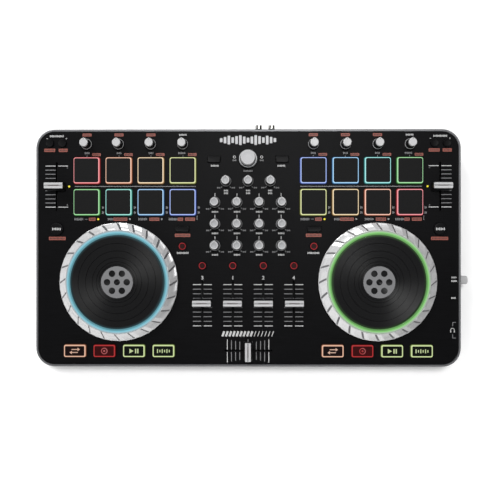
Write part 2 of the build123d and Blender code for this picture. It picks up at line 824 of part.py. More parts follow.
# ---- microphone level knob on the right side ----
with BuildPart() as mic_shaft:
    with BuildSketch(side_plane(mic_shaft_start, mic_knob_y, side_axis_z)):
        Circle(shaft_radius)
    extrude(amount=mic_shaft_end - mic_shaft_start)
mic_shaft.part.label = "shaft"
with BuildPart() as mic_cap:
    with BuildSketch(side_plane(mic_knob_start, mic_knob_y, side_axis_z)):
        Circle(mic_knob_radius)
    extrude(amount=mic_knob_end - mic_knob_start)
    chamfer(mic_cap.faces().sort_by(Axis.X)[-1].edges(), knob_edge_fillet)
    with BuildSketch(side_plane(mic_knob_start, mic_knob_y, side_axis_z)):
        Circle(shaft_radius)
    extrude(amount=mic_shaft_end - mic_knob_start, mode=Mode.SUBTRACT)
    with BuildSketch(side_plane(mic_knob_end, mic_knob_y, side_axis_z)):
        with Locations((0, mic_knob_radius - pointer_length / 2)):
            Rectangle(pointer_width, pointer_length)
    extrude(amount=-pointer_depth, mode=Mode.SUBTRACT)
mic_cap.part.label = "cap"
save(Compound(children=[mic_cap.part, mic_shaft.part]), "mic_level_knob")

# ---- browse control: a shaft that pushes down, and a knob that turns on it ----
with BuildPart() as browse_shaft:
    with BuildSketch(Plane((0, browse_y, shaft_bottom))):
        Circle(shaft_radius)
    extrude(amount=shaft_top - shaft_bottom)
save(browse_shaft.part, "browse_shaft")

with BuildPart() as browse_knob:
    with BuildSketch(Plane((0, browse_y, browse_bottom))):
        Circle(browse_base_radius)
    extrude(amount=browse_base_height)
    with BuildSketch(Plane((0, browse_y, browse_bottom + browse_base_height))):
        Circle(browse_top_radius)
    extrude(amount=browse_top - browse_bottom - browse_base_height, taper=knob_body_taper)
    fillet(browse_knob.faces().sort_by(Axis.Z)[-1].edges(), knob_edge_fillet)
    with BuildSketch(Plane((0, browse_y, browse_bottom))):
        Circle(bushing_bore_radius)
    extrude(amount=browse_bore_top - browse_bottom, mode=Mode.SUBTRACT)
save(browse_knob.part, "browse_knob")


def make_fader(label, x, y, across):
    """A fader: a carriage with its lever blade, and a cap on top. across is true for left-right travel."""
    travel_dir = (1, 0, 0) if across else (0, 1, 0)
    base_plane = Plane(origin=(x, y, 0), x_dir=travel_dir, z_dir=(0, 0, 1))
    span_dir = travel_dir[1], -travel_dir[0], 0
    profile_plane = Plane(origin=(x, y, 0), x_dir=travel_dir, z_dir=span_dir)
    with BuildPart() as carriage:
        with BuildSketch(base_plane.offset(carriage_bottom)):
            Rectangle(carriage_length, carriage_width)
        extrude(amount=carriage_top - carriage_bottom)
        with BuildSketch(base_plane.offset(carriage_top)):
            Rectangle(lever_width, lever_thickness)
        extrude(amount=lever_top - carriage_top)
    carriage.part.label = "carriage"
    with BuildPart() as cap:
        with BuildSketch(profile_plane):
            with BuildLine():
                half_base = fader_cap_base / 2
                half_crest = fader_cap_crest / 2
                Polyline(
                    (-half_crest, fader_cap_top),
                    (-half_base, fader_cap_bottom + fader_cap_lip),
                    (-half_base, fader_cap_bottom),
                    (half_base, fader_cap_bottom),
                    (half_base, fader_cap_bottom + fader_cap_lip),
                    (half_crest, fader_cap_top),
                )
                ThreePointArc(
                    (half_crest, fader_cap_top),
                    (0, fader_cap_top - fader_cap_dip),
                    (-half_crest, fader_cap_top),
                )
            make_face()
        extrude(amount=fader_cap_span / 2, both=True)
        with BuildSketch(base_plane.offset(fader_cap_bottom)):
            Rectangle(lever_width, lever_thickness)
        extrude(amount=lever_top - fader_cap_bottom, mode=Mode.SUBTRACT)
    cap.part.label = "cap"
    save(Compound(children=[cap.part, carriage.part]), label)


# ---- faders ----
for side, sign in deck_sides.items():
    make_fader(f"{side}_pitch_fader", sign * pitch_fader_x, pitch_fader_y, across=False)
for channel, x in zip(channel_numbers, channel_fader_x):
    make_fader(f"channel_{channel}_fader", x, channel_fader_y + channel_cap_rest, across=False)
make_fader("crossfader", 0.0, crossfader_y, across=True)


def outline(size, margin):
    """A button's outline grown by a margin: size is a radius, or a length, a width and a corner radius."""
    if isinstance(size, tuple):
        length, width, corner = size
        RectangleRounded(length + 2 * margin, width + 2 * margin, corner + margin)
    else:
        Circle(size + margin)


def make_buttons(label, *kinds):
    """Caps with a retaining flange below the panel, a sloping top edge, and a stem over the switch."""
    with BuildPart() as buttons:
        for points, size, shoulder, top, slope in kinds:
            for start, end, margin, taper in (
                (flange_bottom, flange_top, flange_margin, 0),
                (flange_top, shoulder, 0, 0),
                (shoulder, top, 0, slope),
            ):
                with BuildSketch(Plane.XY.offset(start)):
                    with Locations(*points):
                        outline(size, margin)
                extrude(amount=end - start, taper=taper)
            with BuildSketch(Plane.XY.offset(flange_bottom)):
                with Locations(*points):
                    Circle(stem_radius)
            extrude(amount=stem_bottom - flange_bottom)
    save(buttons.part, label)


# ---- pads with a sloping translucent skirt, and transport keys, one group for each deck ----
pad_outline = (pad_size, pad_size, pad_corner)
key_outline = (key_length, key_width, key_corner)
key_shoulder = key_top - key_edge_chamfer
for side in deck_sides:
    make_buttons(
        f"{side}_pads", (pad_points[side], pad_outline, pad_shoulder, pad_top, pad_taper)
    )
    make_buttons(
        f"{side}_transport_buttons",
        (key_points[side], key_outline, key_shoulder, key_top, chamfer_slope),
    )

# ---- remaining buttons, grouped by kind ----
load_outline = (load_length, load_width, load_corner)
shift_outline = (shift_length, shift_width, shift_corner)
button_shoulder = button_top - button_edge_chamfer
button_profile = (button_shoulder, button_top, chamfer_slope)
make_buttons("pitch_bend_buttons", (pitch_bend_points, small_button_radius, *button_profile))
make_buttons("layer_buttons", (layer_points, layer_button_radius, *button_profile))
make_buttons(
    "load_and_shift_buttons",
    (load_points, load_outline, *button_profile),
    (shift_points, shift_outline, *button_profile),
)
make_buttons(
    "cue_and_scratch_buttons",
    (cue_points + scratch_points, small_button_radius, *button_profile),
)
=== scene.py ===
import math
import bmesh
import bpy
from mathutils import Matrix, Vector


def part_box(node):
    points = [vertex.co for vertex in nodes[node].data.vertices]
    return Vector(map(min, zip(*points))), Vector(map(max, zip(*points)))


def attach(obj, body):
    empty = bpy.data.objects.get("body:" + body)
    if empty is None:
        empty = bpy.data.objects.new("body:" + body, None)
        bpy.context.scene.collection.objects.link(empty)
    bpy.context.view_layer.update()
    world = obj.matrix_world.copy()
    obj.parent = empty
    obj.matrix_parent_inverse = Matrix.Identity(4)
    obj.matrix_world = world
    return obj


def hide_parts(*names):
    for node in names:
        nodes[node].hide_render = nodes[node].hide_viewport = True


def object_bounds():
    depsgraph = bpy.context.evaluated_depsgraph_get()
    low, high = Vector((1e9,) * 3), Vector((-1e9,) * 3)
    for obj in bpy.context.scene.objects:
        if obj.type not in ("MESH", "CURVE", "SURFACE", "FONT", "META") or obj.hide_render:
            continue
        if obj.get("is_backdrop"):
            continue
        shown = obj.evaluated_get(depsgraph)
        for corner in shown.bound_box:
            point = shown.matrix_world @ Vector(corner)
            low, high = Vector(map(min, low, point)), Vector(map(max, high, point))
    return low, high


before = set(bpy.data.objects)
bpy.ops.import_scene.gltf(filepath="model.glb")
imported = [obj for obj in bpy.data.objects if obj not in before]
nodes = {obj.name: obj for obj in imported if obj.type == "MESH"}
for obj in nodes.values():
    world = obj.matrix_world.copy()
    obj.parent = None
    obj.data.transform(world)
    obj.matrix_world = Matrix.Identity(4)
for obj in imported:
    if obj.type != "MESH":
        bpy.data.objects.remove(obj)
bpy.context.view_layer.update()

MM = 0.001
DECKS = {"left": -1, "right": 1}

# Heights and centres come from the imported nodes, in millimetres.


def box_mm(name):
    low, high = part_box(name)
    return Vector(low) / MM, Vector(high) / MM


def centre_mm(name):
    low, high = box_mm(name)
    return (low + high) / 2


def row_of(node, size, count, axis=0):
    """Centres, along an axis, of count equal flanged caps of one node."""
    low, high = box_mm(node)
    margin = size / 2 + FLANGE_MARGIN
    first, last = low[axis] + margin, high[axis] - margin
    return [first + (last - first) * i / (count - 1) for i in range(count)]


def parts_of(name):
    """Middle, in millimetres, of every separate solid of a node, from left to right."""
    bm = bmesh.new()
    bm.from_mesh(nodes[name].data)
    bm.transform(nodes[name].matrix_world)
    bmesh.ops.remove_doubles(bm, verts=bm.verts, dist=1e-6)
    waiting, middles = set(bm.verts), []
    while waiting:
        front = [waiting.pop()]
        solid = list(front)
        while front:
            for edge in front.pop().link_edges:
                for vert in edge.verts:
                    if vert in waiting:
                        waiting.discard(vert)
                        front.append(vert)
                        solid.append(vert)
        ends = [(min(v.co[i] for v in solid), max(v.co[i] for v in solid)) for i in range(3)]
        middles.append(Vector((low + high) / 2 for low, high in ends) / MM)
    bm.free()
    return sorted(middles, key=lambda middle: (round(middle.x, 1), middle.y))


FLANGE_MARGIN, FLANGE_BOTTOM, FLANGE_TOP = 1.4, 29.6, 31.6
NIB_SPREAD = 30.0
STEM_RADIUS, STEM_BOTTOM = 2.2, 24.9
RCA_BODY, RCA_AXIS = 10.0, 20.0
PANEL = box_mm("top_panel")[1].z
PRINT_RISE = 0.06
CASE = box_mm("side_frame")
KNOB_TOP = box_mm("gain_knob_middle")[1].z
SHAFT_RADIUS, SHAFT_BOTTOM = 3.0, box_mm("gain_knob_middle")[0].z
PAD_TOP = box_mm("left_pads")[1].z
KEY_TOP = box_mm("left_transport_buttons")[1].z
BUTTON_TOP = box_mm("pitch_bend_buttons")[1].z
CAP_BOTTOM = 35.5
CAP_TOP = box_mm("crossfader")[1].z
JOG_CREST = box_mm("left_jog_plate")[0].z + 7.0
PLATE_TOP = box_mm("left_jog_plate")[1].z


# ---------------------------------------------------------------- materials


def principled(name, colour, roughness=0.5, metallic=0.0, specular=0.5, emission=None, strength=1.0):
    """A material with a Principled shader whose uniform values sit on its own sockets."""
    material = bpy.data.materials.new(name)
    material.use_nodes = True
    shader = material.node_tree.nodes["Principled BSDF"]
    shader.inputs["Base Color"].default_value = (*colour, 1)
    shader.inputs["Roughness"].default_value = roughness
    shader.inputs["Metallic"].default_value = metallic
    shader.inputs["Specular IOR Level"].default_value = specular
    if emission:
        shader.inputs["Emission Color"].default_value = (*emission, 1)
        shader.inputs["Emission Strength"].default_value = strength
    material.diffuse_color = (*colour, 1)
    return material


def nodes_of(material):
    tree = material.node_tree
    return tree, tree.nodes["Principled BSDF"]


def coordinates(tree, scale=(1, 1, 1)):
    """Object coordinates, scaled by axis."""
    source = tree.nodes.new("ShaderNodeTexCoord")
    mapping = tree.nodes.new("ShaderNodeMapping")
    mapping.inputs["Scale"].default_value = scale
    tree.links.new(source.outputs["Object"], mapping.inputs["Vector"])
    return mapping.outputs["Vector"]


def noise(tree, vector, scale, detail=4.0, roughness=0.6):
    texture = tree.nodes.new("ShaderNodeTexNoise")
    texture.inputs["Scale"].default_value = scale
    texture.inputs["Detail"].default_value = detail
    texture.inputs["Roughness"].default_value = roughness
    tree.links.new(vector, texture.inputs["Vector"])
    return texture.outputs["Fac"]


def ramp(tree, value, stops):
    """A colour ramp through (position, colour) stops."""
    node = tree.nodes.new("ShaderNodeValToRGB")
    node.color_ramp.elements[0].position = stops[0][0]
    node.color_ramp.elements[0].color = (*stops[0][1], 1)
    node.color_ramp.elements[1].position = stops[-1][0]
    node.color_ramp.elements[1].color = (*stops[-1][1], 1)
    for position, colour in stops[1:-1]:
        element = node.color_ramp.elements.new(position)
        element.color = (*colour, 1)
    tree.links.new(value, node.inputs["Fac"])
    return node.outputs["Color"]


def spread(tree, value, low, high):
    """Maps 0 to 1 onto low to high."""
    node = tree.nodes.new("ShaderNodeMapRange")
    node.inputs["To Min"].default_value = low
    node.inputs["To Max"].default_value = high
    tree.links.new(value, node.inputs["Value"])
    return node.outputs["Result"]


def bump(tree, shader, height, strength, distance=0.0002):
    node = tree.nodes.new("ShaderNodeBump")
    node.inputs["Strength"].default_value = strength
    node.inputs["Distance"].default_value = distance
    tree.links.new(height, node.inputs["Height"])
    tree.links.new(node.outputs["Normal"], shader.inputs["Normal"])


EVEN, BRUSHED_ALONG_X, BRUSHED_ALONG_Z = (1, 1, 1), (0.03, 1, 1), (1, 1, 0.05)


def finish(name, colour, metallic, specular, scale, variation, smooth, rough, relief, stretch=EVEN):
    """An unlit material with fine grain in its colour, roughness and bump. scale is per metre."""
    material = principled(name, colour, metallic=metallic, specular=specular)
    tree, shader = nodes_of(material)
    value = noise(tree, coordinates(tree, stretch), scale)
    dark = [c * (1 - variation) for c in colour]
    light = [min(1.0, c * (1 + variation)) for c in colour]
    tree.links.new(ramp(tree, value, [(0.3, dark), (0.7, light)]), shader.inputs["Base Color"])
    tree.links.new(spread(tree, value, smooth, rough), shader.inputs["Roughness"])
    bump(tree, shader, value, relief)
    return material


# Name, colour, metallic, specular, grain scale, variation, lowest and highest roughness, bump.
panel_black = finish(
    "panel_black", (0.0021, 0.0021, 0.0025), 0, 0.055, 1400, 0.35, 0.42, 0.54, 0.12, BRUSHED_ALONG_X
)
frame_silver = finish("frame_silver", (0.14, 0.142, 0.148), 0.6, 0.15, 1600, 0.05, 0.42, 0.52, 0.05)
case_black = finish("case_black", (0.018, 0.018, 0.02), 0, 0.5, 1500, 0.2, 0.45, 0.62, 0.3)
rubber_black = finish("rubber_black", (0.014, 0.014, 0.015), 0, 0.5, 700, 0.25, 0.7, 0.9, 0.4)
cap_black = finish("cap_black", (0.0045, 0.0045, 0.005), 0, 0.1, 1200, 0.25, 0.4, 0.58, 0.2)
button_black = finish("button_black", (0.0030, 0.0030, 0.0034), 0, 0.07, 1300, 0.25, 0.36, 0.5, 0.15)
pad_black = finish("pad_black", (0.0086, 0.0086, 0.0088), 0, 0.05, 1100, 0.2, 0.55, 0.75, 0.35)
track_black = finish("track_black", (0.004, 0.004, 0.0045), 0, 0.15, 800, 0.2, 0.45, 0.6, 0.1)
cap_silver = finish("cap_silver", (0.41, 0.41, 0.415), 0, 0.3, 1500, 0.07, 0.32, 0.48, 0.12)
edge_grey = finish("edge_grey", (0.30, 0.30, 0.305), 0, 0.4, 1200, 0.2, 0.35, 0.5, 0.1)
disc_grey = finish("disc_grey", (0.26, 0.263, 0.27), 0.1, 0.5, 1200, 0.12, 0.4, 0.55, 0.2)
disc_pale = finish("disc_pale", (0.35, 0.35, 0.36), 0, 0.3, 1200, 0.1, 0.36, 0.5, 0.12)
rim_silver = finish("rim_silver", (0.54, 0.54, 0.545), 0.4, 0.5, 600, 0.04, 0.24, 0.34, 0.015)
# Painted shade: a darker grey for the steep walls of the jog rim's scales.
rim_painted_shade = finish("rim_painted_shade", (0.14, 0.14, 0.145), 0.3, 0.5, 600, 0.1, 0.35, 0.5, 0.02)
emblem_grey = finish("emblem_grey", (0.15, 0.15, 0.155), 0.3, 0.5, 1800, 0.2, 0.42, 0.6, 0.4)
steel = finish("steel", (0.50, 0.50, 0.52), 1, 0.5, 800, 0.08, 0.25, 0.4, 0.15, BRUSHED_ALONG_Z)
nickel = finish("nickel", (0.36, 0.355, 0.34), 1, 0.5, 500, 0.05, 0.12, 0.25, 0.04)
board_green = finish("board_green", (0.02, 0.13, 0.05), 0, 0.5, 500, 0.3, 0.3, 0.45, 0.15)
print_white = finish("print_white", (0.44, 0.44, 0.44), 0, 0.5, 2500, 0.1, 0.5, 0.65, 0.05)
print_grey = finish("print_grey", (0.16, 0.16, 0.165), 0, 0.5, 2500, 0.15, 0.5, 0.65, 0.05)
print_red = finish("print_red", (0.205, 0.045, 0.028), 0, 0.5, 2500, 0.15, 0.5, 0.65, 0.05)
print_dark = finish("print_dark", (0.035, 0.006, 0.005), 0, 0.5, 2500, 0.1, 0.5, 0.65, 0.05)
ornament_silver = finish("ornament_silver", (0.30, 0.30, 0.31), 0.1, 0.5, 1800, 0.08, 0.35, 0.5, 0.1)
lamp_grey = finish("lamp_grey", (0.25, 0.25, 0.25), 0, 0.5, 800, 0.1, 0.2, 0.3, 0.05)


def lit(name, core, edge, strength=1.0, scale=60.0, rise=None, unlit=0.012):
    """A lit plastic. Its light mottles from edge to core, or grows over the heights in rise (mm)."""
    body = [unlit * (0.5 + c) for c in edge]
    material = principled(name, body, roughness=0.4, specular=0.08, emission=core, strength=strength)
    tree, shader = nodes_of(material)
    if rise:
        split = tree.nodes.new("ShaderNodeSeparateXYZ")
        tree.links.new(coordinates(tree), split.inputs["Vector"])
        height = tree.nodes.new("ShaderNodeMapRange")
        height.inputs["From Min"].default_value = rise[0] * MM
        height.inputs["From Max"].default_value = rise[1] * MM
        tree.links.new(split.outputs["Z"], height.inputs["Value"])
        half_way = tuple(c * c * 0.45 for c in core)
        value, stops = height.outputs["Result"], [(0.0, edge), (0.6, half_way), (1.0, core)]
    else:
        value, stops = noise(tree, coordinates(tree), scale, detail=2.0), [(0.35, edge), (0.65, core)]
    tree.links.new(ramp(tree, value, stops), shader.inputs["Emission Color"])
    return material


def tint(colour, share):
    """A colour moved towards white by share."""
    return tuple(c + (1 - c) * share for c in colour)


def dimmed(colour, share):
    return tuple(c * share for c in colour)


# ---------------------------------------------------------------- mesh helpers


def to_mesh(bm, name, materials, sharp_angle=30.0):
    """Turns a bmesh in millimetres into a mesh in metres."""
    bmesh.ops.remove_doubles(bm, verts=bm.verts, dist=1e-4)
    bmesh.ops.recalc_face_normals(bm, faces=bm.faces)
    bmesh.ops.scale(bm, vec=(MM, MM, MM), verts=bm.verts)
    mesh = bpy.data.meshes.new(name)
    bm.to_mesh(mesh)
    bm.free()
    for material in materials:
        mesh.materials.append(material)
    mesh.shade_smooth()
    mesh.set_sharp_from_angle(angle=math.radians(sharp_angle))
    return mesh


def write(bm, name, materials, body, stands_for=(), slot=None, sharp_angle=30.0, place=None):
    """Turns a bmesh in millimetres into a finished piece that rides on a body."""
    return put(to_mesh(bm, name, materials, sharp_angle), name, body, stands_for, slot, place)


def put(mesh, name, body, stands_for=(), slot=None, place=None, turn=0.0):
    """Places a mesh as an object, at place in millimetres, turned about Z by turn degrees."""
    piece = bpy.data.objects.new(name, mesh)
    bpy.context.collection.objects.link(piece)
    piece.rotation_euler.z = math.radians(turn)
    if place:
        piece.location = Vector(place) * MM
    if stands_for:
        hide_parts(*stands_for)
    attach(piece, body)
    return piece


def bridge(bm, first, second, material):
    """Quads between two rings of equal length."""
    count = len(first)
    for i in range(count):
        j = (i + 1) % count
        face = bm.faces.new((first[i], first[j], second[j], second[i]))
        face.material_index = material


def cap(bm, ring, material):
    face = bm.faces.new(ring)
    face.material_index = material


def skin(bm, outlines, materials, close=True):
    """A closed solid through a list of outlines, each a list of points. materials has one index per band."""
    rings = [[bm.verts.new(point) for point in outline] for outline in outlines]
    for index, (lower, upper) in enumerate(zip(rings, rings[1:])):
        bridge(bm, lower, upper, materials[index])
    if close:
        cap(bm, rings[0], materials[0])
        cap(bm, rings[-1], materials[-1])
    else:
        bridge(bm, rings[-1], rings[0], materials[-1])


def rounded(centre, length, width, corner, z, steps=5):
    """Points of a rounded rectangle at height z."""
    corner = max(min(corner, length / 2 - 1e-3, width / 2 - 1e-3), 1e-3)
    points = []
    for quarter, (sx, sy) in enumerate(((1, 1), (-1, 1), (-1, -1), (1, -1))):
        for step in range(steps + 1):
            angle = math.radians(90 * (quarter + step / steps))
            x = sx * (length / 2 - corner) + corner * math.cos(angle)
            y = sy * (width / 2 - corner) + corner * math.sin(angle)
            points.append((centre[0] + x, centre[1] + y, z))
    return points


def circle(radius, z, segments=48, centre=(0, 0), flute=0.0, flutes=0, nib=0.0):
    """Points of a circle at height z, with optional flutes cut into it and a pointer nib at +Y."""
    points = []
    for i in range(segments):
        angle = 2 * math.pi * i / segments
        r = radius - flute * (0.5 - 0.5 * math.cos(flutes * angle)) ** 2
        r += nib * max(0.0, 1 - abs(math.degrees(angle) - 90) / NIB_SPREAD)
        points.append((centre[0] + r * math.cos(angle), centre[1] + r * math.sin(angle), z))
    return points


def lathe(bm, rows, segments=48, centre=(0, 0), flutes=0, closing=None):
    """A turned solid through rows of radius, height, material, flute and nib.

    A closing material makes it a ring without caps.
    """
    outlines, materials = [], []
    for radius, z, material, *cuts in rows:
        flute, nib = (*cuts, 0, 0)[:2]
        outlines.append(circle(radius, z, segments, centre, flute, flutes, nib))
        materials.append(material)
    ring = closing is not None
    skin(bm, outlines, materials[1:] + [closing] * ring, close=not ring)


def stack(bm, x, y, rows):
    """A block through rows of length, width, corner radius, height and material."""
    outlines = [rounded((x, y), *row[:4]) for row in rows]
    skin(bm, outlines, [row[4] for row in rows[1:]])


def stem(bm, x, y, material=0):
    """The stem under a button, down to its switch."""
    skin(bm, [circle(STEM_RADIUS, z, 24, (x, y)) for z in (STEM_BOTTOM, FLANGE_BOTTOM)], (material,))


def bar(bm, x, y, length, width, angle=0.0, z=None, rise=PRINT_RISE, material=0, corner=0.0):
    """A thin flat plate on a surface: a printed bar, tick or block."""
    base = PANEL if z is None else z
    turn = Matrix.Rotation(math.radians(angle), 3, "Z")
    outlines = []
    for height in (0.0, rise):
        flat = rounded((0, 0), length, width, corner, 0, steps=3 if corner else 1)
        outlines.append([tuple(turn @ Vector(p) + Vector((x, y, base + height))) for p in flat])
    skin(bm, outlines, (material,))


def strokes(bm, x, y, length, height, pitch=1.5, share=0.62, z=None, rise=PRINT_RISE, material=0, slant=0.0):
    """A row of short upright strokes: a plain stand-in for a line of lettering."""
    count = max(2, round(length / pitch))
    step = length / count
    for i in range(count):
        tall = height * (1.0 if i % 3 != 1 else 0.72)
        spot = x - length / 2 + step * (i + 0.5)
        bar(bm, spot, y, step * share, tall, angle=slant, z=z, rise=rise, material=material)


def arc_band(bm, x, y, radius, width, start, end, z, rise=PRINT_RISE, material=0, steps=20):
    """A curved plate from start to end degrees."""
    inner, outer = [], []
    for i in range(steps + 1):
        angle = math.radians(start + (end - start) * i / steps)
        for points, r in ((inner, radius - width / 2), (outer, radius + width / 2)):
            points.append((x + r * math.cos(angle), y + r * math.sin(angle)))
    outline = outer + inner[::-1]
    skin(bm, [[(px, py, z + h) for px, py in outline] for h in (0.0, rise)], (material,))


def polygon_plate(bm, points, z, rise=PRINT_RISE, material=0):
    skin(bm, [[(x, y, z + h) for x, y in points] for h in (0.0, rise)], (material,))


# ---------------------------------------------------------------- carried-over CAD nodes

CARRIED = {
    "base_tray": case_black,
    "side_frame": frame_silver,
    "top_panel": panel_black,
    "rubber_feet": rubber_black,
    "assembly_screws": steel,
    "circuit_boards": board_green,
    "pot_housings": case_black,
    "fader_tracks": track_black,
    "tact_switches": case_black,
    "rca_outputs": nickel,
    "usb_socket": nickel,
    "jack_sockets": case_black,
    "jog_posts": steel,
    "browse_shaft": steel,
}
for name, material in CARRIED.items():
    mesh = nodes[name].data
    mesh.materials.clear()
    mesh.materials.append(material)

# ---------------------------------------------------------------- sockets at the rear

rca_low, rca_high = box_mm("rca_outputs")
WALL_FACE = CASE[1].y
COLLAR_RADIUS, BARREL_RADIUS = 4.9, 4.15
for number, x in enumerate((rca_low.x + RCA_BODY / 2, rca_high.x - RCA_BODY / 2), 1):
    bm = bmesh.new()
    bore = BARREL_RADIUS + 0.02
    rows = ((bore, 0.05, 0), (COLLAR_RADIUS, 0.05, 0), (COLLAR_RADIUS, 2.2, 0), (COLLAR_RADIUS - 0.4, 2.9, 0))
    lathe(bm, rows + ((bore, 3.0, 0),), closing=0)
    bmesh.ops.rotate(bm, verts=bm.verts, cent=(0, 0, 0), matrix=Matrix.Rotation(-math.pi / 2, 3, "X"))
    write(
        bm, f"rca_collar_{number}", (button_black,), "chassis", slot="component_black",
        place=(x, WALL_FACE, RCA_AXIS),
    )

# ---------------------------------------------------------------- knobs

SKIRT_RADIUS = 6.65
SKIRT_TOP = 37.4
WAIST = 46.8
FLUTES = 16


def knob_mesh(name, disc):
    """Knob at the origin: black skirt and waist, silver top with a nib, and its steel shaft."""
    bm = bmesh.new()
    top = KNOB_TOP
    inner, dish = (2, top - 0.3) if disc else (1, top - 0.12)
    rows = (
        (6.2, 35.0, 0),
        (SKIRT_RADIUS, 35.3, 0),
        (SKIRT_RADIUS, SKIRT_TOP - 0.5, 0),
        (SKIRT_RADIUS - 0.45, SKIRT_TOP, 4),
        (5.75, SKIRT_TOP, 0),
        (5.1, WAIST, 0, 0.3),
        (5.2, WAIST + 0.3, 1, 0.3, 0.8),
        (5.2, top - 0.7, 1, 0.3, 0.8),
        (4.9, top - 0.12, 1, 0.16, 0.7),
        (4.6, top - 0.05, 1, 0, 0.3),
        (3.75, top - 0.1, 1),
        (3.45, dish, inner),
        (1.2, dish, inner),
    )
    lathe(bm, rows, FLUTES * 8, flutes=FLUTES)
    bar(bm, 0, 4.3, 0.8, 1.9, z=top - 0.09, rise=0.07, material=3)
    skin(bm, [circle(SHAFT_RADIUS, z, 32) for z in (SHAFT_BOTTOM, 34.9)], (5,))
    return to_mesh(bm, name, (cap_black, cap_silver, disc_grey, print_grey, edge_grey, steel), 35)


plain_knob = knob_mesh("knob_plain", disc=False)
disc_knob = knob_mesh("knob_disc", disc=True)
knob_names = [n for n in nodes if "_knob" in n and n not in ("browse_knob", "mic_level_knob")]
for name in sorted(knob_names):
    middle = centre_mm(name)
    mesh = plain_knob if "_fx_" in name else disc_knob
    put(mesh, f"{name}_cap", f"{name}_turning", (name,), "knob_silver", (middle.x, middle.y, 0))

# Browse knob: wide black base, fluted silver grip with a flat top.
middle = centre_mm("browse_knob")
browse_top = box_mm("browse_knob")[1].z
bm = bmesh.new()
BROWSE_FLUTES = 28
rows = (
    (11.3, 35.5, 0),
    (11.8, 35.9, 0),
    (11.8, 38.0, 0),
    (11.4, 38.5, 0),
    (9.9, 38.5, 2),
    (9.7, 39.3, 0),
    (9.3, 39.6, 0, 0.4),
    (9.2, browse_top - 1.1, 1, 0.4),
    (8.8, browse_top - 0.3, 1, 0.2),
    (8.2, browse_top - 0.05, 1),
    (7.4, browse_top - 0.25, 1),
    (2.0, browse_top - 0.25, 3),
)
lathe(bm, rows, BROWSE_FLUTES * 6, flutes=BROWSE_FLUTES)
write(
    bm, "browse_knob_cap", (cap_black, cap_silver, disc_grey, disc_pale), "browse_turn", ("browse_knob",),
    "knob_silver", place=(middle.x, middle.y, 0),
)

# Microphone level knob: the same grip lying along X, on its shaft.
low, high = box_mm("mic_level_knob")
bm = bmesh.new()
reach, start = high.x, CASE[1].x + 0.8
lathe(bm, [(SHAFT_RADIUS, x, 1) for x in (low.x, start - 0.1)], 32)
rows = (
    (5.4, start, 0),
    (5.9, start + 0.5, 0),
    (5.9, start + 4.5, 0),
    (5.6, start + 4.9, 0, 0.4),
    (5.5, reach - 1.2, 0, 0.4),
    (5.1, reach - 0.35, 0, 0.2),
    (4.5, reach - 0.05, 0),
    (1.5, reach - 0.05, 0),
)
lathe(bm, rows, FLUTES * 8, flutes=FLUTES)
bmesh.ops.rotate(bm, verts=bm.verts, cent=(0, 0, 0), matrix=Matrix.Rotation(math.pi / 2, 3, "Y"))
write(
    bm, "mic_level_knob_cap", (cap_silver, steel), "mic_level_knob_turning", ("mic_level_knob",),
    "knob_silver", place=(0, (low.y + high.y) / 2, (low.z + high.z) / 2),
)

# ---------------------------------------------------------------- faders


def fader_mesh(name):
    """A fader cap for travel along Y: black base, silver crest with a groove and a centre line."""
    bm = bmesh.new()
    span, base, crest = 23.6, 11.4, 7.2
    rows = (
        (span, base, 1.2, CAP_BOTTOM, 0),
        (span, base, 1.2, CAP_BOTTOM + 2.0, 0),
        (span - 0.5, crest + 0.8, 1.0, CAP_TOP - 4.2, 0),
        (span - 0.2, crest + 0.3, 0.9, CAP_TOP - 2.0, 0),
        (span, crest + 0.1, 0.8, CAP_TOP - 0.7, 1),
        (span - 0.5, crest - 0.5, 0.7, CAP_TOP - 0.2, 1),
        (span - 1.2, 1.9, 0.5, CAP_TOP - 0.4, 1),
        (span - 1.6, 1.2, 0.4, CAP_TOP - 1.0, 2),
        (span - 2.0, 0.7, 0.3, CAP_TOP - 1.0, 2),
    )
    stack(bm, 0, 0, rows)
    bar(bm, 0, 0, 13.0, 0.6, z=CAP_TOP - 1.0, rise=0.15, material=3)
    return to_mesh(bm, name, (cap_black, cap_silver, disc_grey, print_dark), 25)


def lever_mesh(name):
    """The steel blade and carriage under a fader cap."""
    bm = bmesh.new()
    skin(bm, [rounded((0, 0), 6.0, 10.0, 0.4, z) for z in (21.2, 24.8)], (0,))
    skin(bm, [rounded((0, 0), 1.2, 4.0, 0.2, z) for z in (24.8, CAP_BOTTOM + 1.0)], (0,))
    return to_mesh(bm, name, (steel,))


fader_cap, fader_lever = fader_mesh("fader_cap"), lever_mesh("fader_lever")
channel_faders = [f"channel_{number}_fader" for number in range(1, 5)]
for name in ("left_pitch_fader", "right_pitch_fader", *channel_faders, "crossfader"):
    middle = centre_mm(name)
    spot = dict(place=(middle.x, middle.y, 0), turn=90.0 if name == "crossfader" else 0.0)
    put(fader_cap, f"{name}_top", f"{name}_cap", (name,), "fader_silver", **spot)
    put(fader_lever, f"{name}_lever", f"{name}_cap", (name,), "track_steel", **spot)

# ---------------------------------------------------------------- pads

PAD = 34.4
PAD_COLUMNS = {side: row_of(f"{side}_pads", PAD, 4) for side in DECKS}
PAD_ROWS = dict(zip(("lower", "upper"), row_of("left_pads", PAD, 2, axis=1)))
PAD_COLOURS = {
    ("left", "upper"): ((1.0, 0.10, 0.12), (1.0, 0.47, 0.24), (1.0, 0.71, 0.36), (0.72, 0.76, 0.22)),
    ("left", "lower"): ((0.14, 0.68, 0.14), (0.16, 0.79, 0.68), (0.22, 0.57, 0.96), (0.22, 0.38, 1.0)),
    ("right", "upper"): ((0.22, 0.40, 1.0), (0.18, 0.60, 1.0), (0.18, 0.83, 0.82), (0.18, 0.70, 0.18)),
    ("right", "lower"): ((0.72, 0.76, 0.22), (0.94, 0.68, 0.30), (1.0, 0.44, 0.26), (1.0, 0.11, 0.16)),
}


